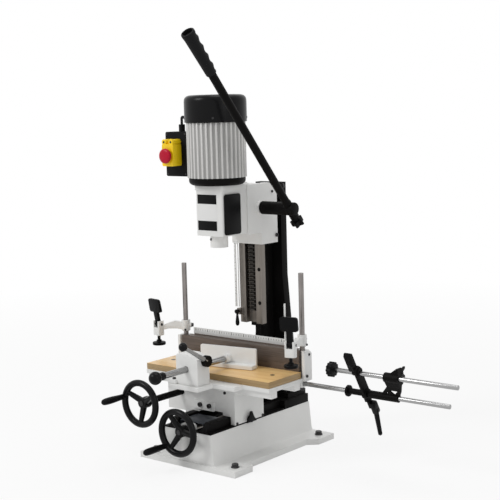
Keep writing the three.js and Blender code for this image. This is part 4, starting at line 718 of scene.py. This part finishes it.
class BuildHoldDowns(Builder):
    """Hold-down arms, cam levers and feet."""

    bl_idname = "mortiser.hold_downs"
    bl_label = "Hold-downs"

    def build(self):
        s = sizes()
        reach = 91
        y = POST_Y
        for side, x, swing, yoke in (("left", -POST_X, 211.6, -10), ("right", POST_X, 284.7, 14.7)):
            body = "hold_down_" + side
            dress("hold_down_arm_" + side, body, "white_paint", s.casting_edge * 0.6)
            dress("cam_lever_" + side, "cam_" + side, "black_plastic", s.moulded_edge)
            angle = math.radians(swing)
            foot_x = x + reach * math.cos(angle)
            foot_y = y + reach * math.sin(angle)
            foot = turned([(20.4, 299), (21.3, 300.2), (21.5, 302), (21.5, 306), (20.2, 308), (14, 308.7),
                           (9.4, 309.6), (8.5, 311), (8.5, 314.4), (7.6, 315.2), (5, 315.4), (5, 358.2)],
                          (foot_x, foot_y, 0), sides=56)
            node = "hold_down_foot_" + side
            fit(foot, node + "_turned", "foot_" + side, "black_plastic", (node,))
            way = Vector((math.cos(angle), math.sin(angle), 0))
            spot = Vector((x, y, 364)) - way * 18.5
            flank = Vector((-way.y, way.x, 0))
            heads = [cap_screw(spot, -way, 6.2, 6),
                     cap_screw(Vector((x, y, 351)) + flank * 13.6, flank, 3.2, 3.4),
                     turned([(11.4, 345.6), (11.9, 346), (11.9, 346.9)], (x, y, 0), sides=40)]
            turn = math.radians(yoke)
            across = Vector((math.cos(turn), math.sin(turn), 0))
            for sign in (-1, 1):
                heads.append(turned([(4.4, 17.2), (4.4, 18), (2.2, 18.2)], (foot_x, foot_y, 367),
                                    across * sign, sides=32))
            fit(together(*heads), f"hold_down_screw_{side}", body, "dark_steel")


class BuildVise(Builder):
    """Front vise: bracket, rod, lock lever and jaw."""

    bl_idname = "mortiser.vise"
    bl_label = "Vise"

    def build(self):
        s = sizes()
        dress("vise_bracket", "table", "white_paint", s.casting_edge * 1.6, 4)
        dress("vise_jaw", "vise_jaw", "white_paint", s.casting_edge * 0.5)
        at = (8, 0, 298)
        rod = turned([(9.5, -340), (9.5, -71.5), (8.4, -69.9), (6, -69.1)], at, BACK)
        fit(rod, "vise_rod_bar", "vise_rod", "bright_bar")
        neck = turned([(10.2, -362), (11.8, -357), (11.8, -340), (10.8, -338)], at, BACK)
        knob = ball(19.5, (8, -372.8, 298))
        fit(join(knob, neck), "vise_knob", "vise_rod", "black_gloss", ("vise_rod",),
            math.radians(40))
        hub = turned([(16, 54.3), (17, 55.4), (17, 61.5), (15.4, 63), (15.4, 64.6), (17, 66), (17, 69),
                      (15.6, 70)], (0, -210, 324), RIGHT)
        tip = Vector((62.6, -311, 384))
        root = Vector((62.6, -210, 324))
        arm = turned([(7.8, 4), (6.6, 40), (5.4, 80), (5, (tip - root).length - 3)], root, tip - root,
                     sides=40)
        fit(hub, "vise_lock_hub", "vise_lock", "black_paint", ("vise_lock_lever",))
        fit(arm, "vise_lock_arm", "vise_lock", "lever_steel")
        fit(ball(13, tip), "vise_lock_ball", "vise_lock", "black_gloss")
        screws = [cap_screw((-43, -240, 263.3), UP, 5.2, 5), cap_screw((-43, -212, 263.3), UP, 5.2, 5)]
        fit(together(*screws), "vise_screws", "table", "dark_steel")


# Side stop
class BuildStop(Builder):
    """Side stop: rail, sliding frame, rod, arm and handles."""

    bl_idname = "mortiser.stop"
    bl_label = "Side stop"

    def build(self):
        s = sizes()
        rail = turned([(7, 204), (7, 744)], RAIL, RIGHT, edge=1.0)
        fit(rail, "stop_rail_bar", "table", "bright_rod", ("stop_rail",))
        collar = turned([(17, 404), (17, 411)], RAIL, RIGHT, edge=1.2)
        fit(collar, "stop_collar_turned", "stop_collar", "black_paint", ("stop_collar",))
        dress("stop_slide", "stop_frame", "black_paint", None)
        dress("stop_arm", "stop_frame", "black_paint", s.casting_edge * 0.5)
        dress("stop_handle", "stop_handle", "black_plastic", s.moulded_edge * 0.8)
        dress("stop_wing_knob", "stop_wing", "black_plastic", s.moulded_edge * 0.7)
        bar = turned([(7, 386), (7, 792)], STOP_ROD, RIGHT, edge=1.0)
        fit(bar, "stop_rod_bar", "stop_rod", "bright_rod")
        knob = copied("stop_rod", 0.0009, 2)
        hold(knob)
        bpy.ops.object.mode_set(mode="EDIT")
        bpy.ops.mesh.select_all(action="SELECT")
        bpy.ops.mesh.bisect(plane_co=(0.3865, 0, 0), plane_no=(1, 0, 0), clear_outer=True, use_fill=True)
        rest()
        fit(knob, "stop_rod_knob", "stop_rod", "black_plastic", ("stop_rod",))


# Head, lever, motor, switch
class BuildHead(Builder):
    """Head casting, cover, plate, depth scale and set screws."""

    bl_idname = "mortiser.head"
    bl_label = "Head"

    def build(self):
        s = sizes()
        dress("head_casting", "head", "white_paint", s.casting_edge)
        dress("chuck_cover", "head", "black_plastic", s.moulded_edge)
        dress("depth_scale", "head", "depth_scale", 0.0002, 2)
        recoat("pinion_shaft", "ground_way")
        recoat("chuck", "dark_steel")
        recoat("motor_spindle", "ground_way")
        plate = brick((-46, -109.2, 693), (33, -108.5, 808), 0.25)
        fit(plate, "head_plate", "head", "dial_white")
        bands = [brick((-44, -109.6, low), (31, -109.1, high), 0.15)
                 for low, high in ((777, 805), (697, 726))]
        fit(together(*bands), "head_plate_bands", "head", "black_plastic")
        heads = [cap_screw((60, 139.5, 662), RIGHT, 6, 5),
                 cap_screw((-10.4, -89.6, 668), (-0.4, -0.92, 0), 3.8, 3),
                 cap_screw((60, 122, 800), RIGHT, 4.2, 2.6)]
        fit(together(*heads), "head_screws", "head", "dark_steel")


class BuildLever(Builder):
    """Feed lever with hub, grip and lobed knob."""

    bl_idname = "mortiser.lever"
    bl_label = "Feed lever"

    def build(self):
        tilt = math.radians(40.3)
        way = Vector((0, -math.sin(tilt), math.cos(tilt)))
        above = Vector((0, math.cos(tilt), math.sin(tilt)))
        root = Vector((179, LEVER_Y, LEVER_Z))
        hub = turned([(18.6, 74.1), (20, 75.5), (20, 195), (18.8, 198.4), (15.6, 200)], (0, LEVER_Y, LEVER_Z),
                     RIGHT)
        bar = turned([(12, -38), (12, 536)], root, way, edge=1.0)
        socket = turned([(12.6, -38), (14, -35), (14, 26), (12.2, 32)], root, way)
        fit(join(hub, socket, bar), "feed_lever_bar", "feed_lever", "black_paint",
            ("feed_lever",), math.radians(35))
        stations = [(527, 14.6), (529, 15.5), (590, 17), (650, 18.5), (664, 20), (669, 20), (671, 18.8)]
        profile = []
        for (h0, r0), (h1, r1) in zip(stations, stations[1:]):
            steps = max(1, round((h1 - h0) / 2.5))
            profile += [(r0 + (r1 - r0) * i / steps, h0 + (h1 - h0) * i / steps) for i in range(steps)]
        profile += [stations[-1][::-1], (15.2, 671), (14.6, 661)]
        grip = turned(profile, root, way, sides=64)
        lowest, highest, first_crest, pitch, crest, hollow = 532, 660, 551, 31, 4.2, 1.2
        for vertex in grip.data.vertices:
            offset = Vector(vertex.co) - root * MM
            height = offset.dot(way) / MM
            lean = offset.dot(above) / MM
            if lean > 0 and lowest < height < highest:
                wave = (0.5 + 0.5 * math.cos(math.tau * (height - first_crest) / pitch)) ** 1.6
                vertex.co += above * MM * (crest * wave - hollow) * min(1, lean / 12)
        fit(grip, "lever_grip_moulded", "feed_lever", "rubber", ("lever_grip",), math.radians(50))
        dress("lever_knob", "lever_knob", "black_plastic", sizes().moulded_edge * 1.4, 4)


class BuildMotor(Builder):
    """Motor flange, finned body and fan cover."""

    bl_idname = "mortiser.motor"
    bl_label = "Motor"

    def build(self):
        flange = turned([(70.5, 832.3), (72, 832.9), (76.6, 834.2), (80.6, 836.6), (83.6, 839.8),
                         (85.2, 843.6), (85.6, 847), (85.6, 854.8)], MOTOR, sides=96)
        fit(flange, "motor_flange_turned", "head", "black_paint", ("motor_flange",))
        dress("motor_body", "head", "motor_alloy", 0.0009, 3)
        cover = turned([(91.6, 1020.3), (94, 1021), (94, 1082), (93.2, 1088.6), (90.6, 1094.4),
                        (85.4, 1098.8), (77, 1101.2), (60, 1102), (58, 1100.8), (30, 1100.8)], MOTOR,
                       sides=128)
        fit(cover, "fan_cover_pressed", "head", "black_gloss", ("fan_cover",),
            math.radians(34))
        heads = []
        for turn in (-54, 36, 126, 216):
            angle = math.radians(turn)
            way = Vector((math.cos(angle), math.sin(angle), 0))
            heads.append(cap_screw(Vector(MOTOR) + Vector((0, 0, 1033)) + way * 93.6, way, 3.4, 1.4))
        fit(together(*heads), "fan_cover_screws", "head", "dark_steel")


class BuildSwitch(Builder):
    """Switch box, housing, stop button, gland and lead."""

    bl_idname = "mortiser.switch"
    bl_label = "Switch"

    def build(self):
        s = sizes()
        dress("switch_box", "head", "black_plastic", s.moulded_edge)
        dress("switch_housing", "head", "yellow_plastic", s.moulded_edge * 0.8)
        x, z = -134, 921.5
        press = turned([(13, 132.2), (13, 145), (21.7, 145.3), (22.5, 146.4), (22.5, 150.4), (21.8, 152.6),
                        (19.4, 154.6), (15, 155.8), (8, 156.4), (3, 156.6)], (x, 0, z), FRONT, sides=72)
        fit(press, "stop_button_turned", "stop_button", "red_plastic", ("stop_button",),
            math.radians(36))
        screws = [cap_screw((px, -100, pz), FRONT, 3, 0.7) for pz in (864, 986) for px in (-170, -96)]
        screws += [cap_screw((x + side * 14, -138.2, 963), FRONT, 3.4, 0.5, 0.7) for side in (-1, 1)]
        fit(together(*screws), "switch_screws", "head", "dark_steel")
        self.lead()

    def lead(self):
        """The short lead from the gland into the motor's side, on the route of its solid."""
        route = [(-128, -76, 1013), (-128, -76, 1022.3), (-133.6, -67.6, 1036.3), (-136.4, -50.8, 1032.1),
                 (-98.8, -25.6, 991), (-89.7, -29.2, 984), (-81.4, -32.6, 984)]
        curve = bpy.data.curves.new("motor_lead_round", "CURVE")
        curve.dimensions = "3D"
        curve.bevel_depth = 4 * MM
        curve.bevel_resolution = 6
        curve.resolution_u = 12
        curve.use_fill_caps = True
        spline = curve.splines.new("BEZIER")
        spline.bezier_points.add(len(route) - 1)
        for point, place in zip(spline.bezier_points, route):
            point.co = Vector(place) * MM
            point.handle_left_type = point.handle_right_type = "AUTO"
        piece = bpy.data.objects.new("motor_lead_round", curve)
        bpy.context.scene.collection.objects.link(piece)
        hold(piece)
        bpy.ops.object.convert(target="MESH")
        fit(bpy.context.object, "motor_lead_round", "head", "rubber", ("motor_lead",),
            math.radians(60))


# Stage
class BuildStage(Builder):
    """Floor, soft lights, world and the camera at the photograph's angle."""

    bl_idname = "mortiser.stage"
    bl_label = "Stage"

    def floor(self):
        rest()
        bpy.ops.mesh.primitive_plane_add(size=60, location=(0, 0, -0.0002))
        plane = bpy.context.object
        plane.name = "floor"
        f = Finish("floor_pale")
        x, y, _ = f.axes()
        far = ((x * x + y * y).root()).within(0.9, 3.5)
        matt = f.node("ShaderNodeBsdfDiffuse", {}, {"Color": (0.86, 0.86, 0.86)})
        glow = f.node("ShaderNodeEmission", {}, {"Color": (1, 1, 1), "Strength": 1.0})
        near = f.node("ShaderNodeMixShader", {}, {0: 0.82 + 0.18 * far, 1: matt, 2: glow})
        both = f.node("ShaderNodeMixShader", {}, {0: f.seen(), 1: matt, 2: near})
        f.tree.links.new(both.socket, f.output.inputs["Surface"])
        plane.data.materials.append(f.material)

    def world(self):
        world = bpy.data.worlds.new("studio")
        bpy.context.scene.world = world
        world.use_nodes = True
        f = Finish("studio", world)
        soft = f.node("ShaderNodeBackground", {}, {"Color": (1, 1, 1), "Strength": 0.46}, "Background")
        white = f.node("ShaderNodeBackground", {}, {"Color": (1, 1, 1), "Strength": 1.0}, "Background")
        mix = f.node("ShaderNodeMixShader", {}, {0: f.seen(), 1: soft, 2: white})
        f.tree.links.new(mix.socket, f.output.inputs["Surface"])

    def lamp(self, name, place, target, size, power):
        rest()
        bpy.ops.object.light_add(type="AREA", location=place)
        lamp = bpy.context.object
        lamp.name = name
        lamp.data.shape = "DISK"
        lamp.data.size = size
        lamp.data.energy = power
        lamp.rotation_euler = (Vector(target) - Vector(place)).to_track_quat("-Z", "Y").to_euler()

    def build(self):
        self.floor()
        self.world()
        self.lamp("key", (-1.8, -3.2, 3.4), (0, 0, 0.6), 1.8, 78)
        self.lamp("fill", (4.2, -1.2, 2.2), (0, 0, 0.5), 2.0, 14)
        self.lamp("top", (0.4, 0.6, 4.4), (0, 0, 0.6), 2.6, 50)
        rest()
        a, e, r = (math.radians(v) for v in (CAMERA_TURN, CAMERA_DIP, CAMERA_ROLL))
        ahead = Vector((-math.sin(a) * math.cos(e), math.cos(a) * math.cos(e), -math.sin(e)))
        across = Vector((math.cos(a), math.sin(a), 0))
        down = ahead.cross(across)
        image_x = across * math.cos(r) + down * math.sin(r)
        image_y = down * math.cos(r) - across * math.sin(r)
        bpy.ops.object.camera_add()
        camera = bpy.context.object
        facing = Matrix((image_x, -image_y, -ahead)).transposed().to_4x4()
        camera.matrix_world = Matrix.Translation(CAMERA_PLACE) @ facing
        camera.data.sensor_width = SENSOR
        camera.data.lens = FOCAL_PIXELS / PHOTO_SIDE * SENSOR
        camera.data.clip_end = 100
        bpy.context.scene.camera = camera
        bpy.context.scene.view_settings.view_transform = "Standard"


BUILDERS = (BuildBase, BuildColumn, BuildSaddle, BuildWheels, BuildTable, BuildHoldDowns, BuildVise,
            BuildStop, BuildHead, BuildLever, BuildMotor, BuildSwitch, BuildStage)


class MortiserPanel(bpy.types.Panel):
    """Lists the sizes, the colours and the building steps."""

    bl_idname = "VIEW3D_PT_mortiser"
    bl_label = "Mortising machine"
    bl_space_type = "VIEW_3D"
    bl_region_type = "UI"
    bl_category = "Mortiser"

    def draw(self, context):
        for group in (context.scene.mortiser_sizes, context.scene.mortiser_colours):
            for name in group.__annotations__:
                self.layout.prop(group, name)
        for builder in BUILDERS:
            self.layout.operator(builder.bl_idname)


CLASSES = (MortiserSizes, MortiserColours, *BUILDERS, MortiserPanel)


def register():
    for item in CLASSES:
        bpy.utils.register_class(item)
    bpy.types.Scene.mortiser_sizes = bpy.props.PointerProperty(type=MortiserSizes)
    bpy.types.Scene.mortiser_colours = bpy.props.PointerProperty(type=MortiserColours)


def unregister():
    del bpy.types.Scene.mortiser_colours
    del bpy.types.Scene.mortiser_sizes
    for item in reversed(CLASSES):
        bpy.utils.unregister_class(item)


def main():
    register()
    for builder in BUILDERS:
        group, name = builder.bl_idname.split(".")
        getattr(getattr(bpy.ops, group), name)()
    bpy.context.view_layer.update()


if __name__ == "__main__":
    main()
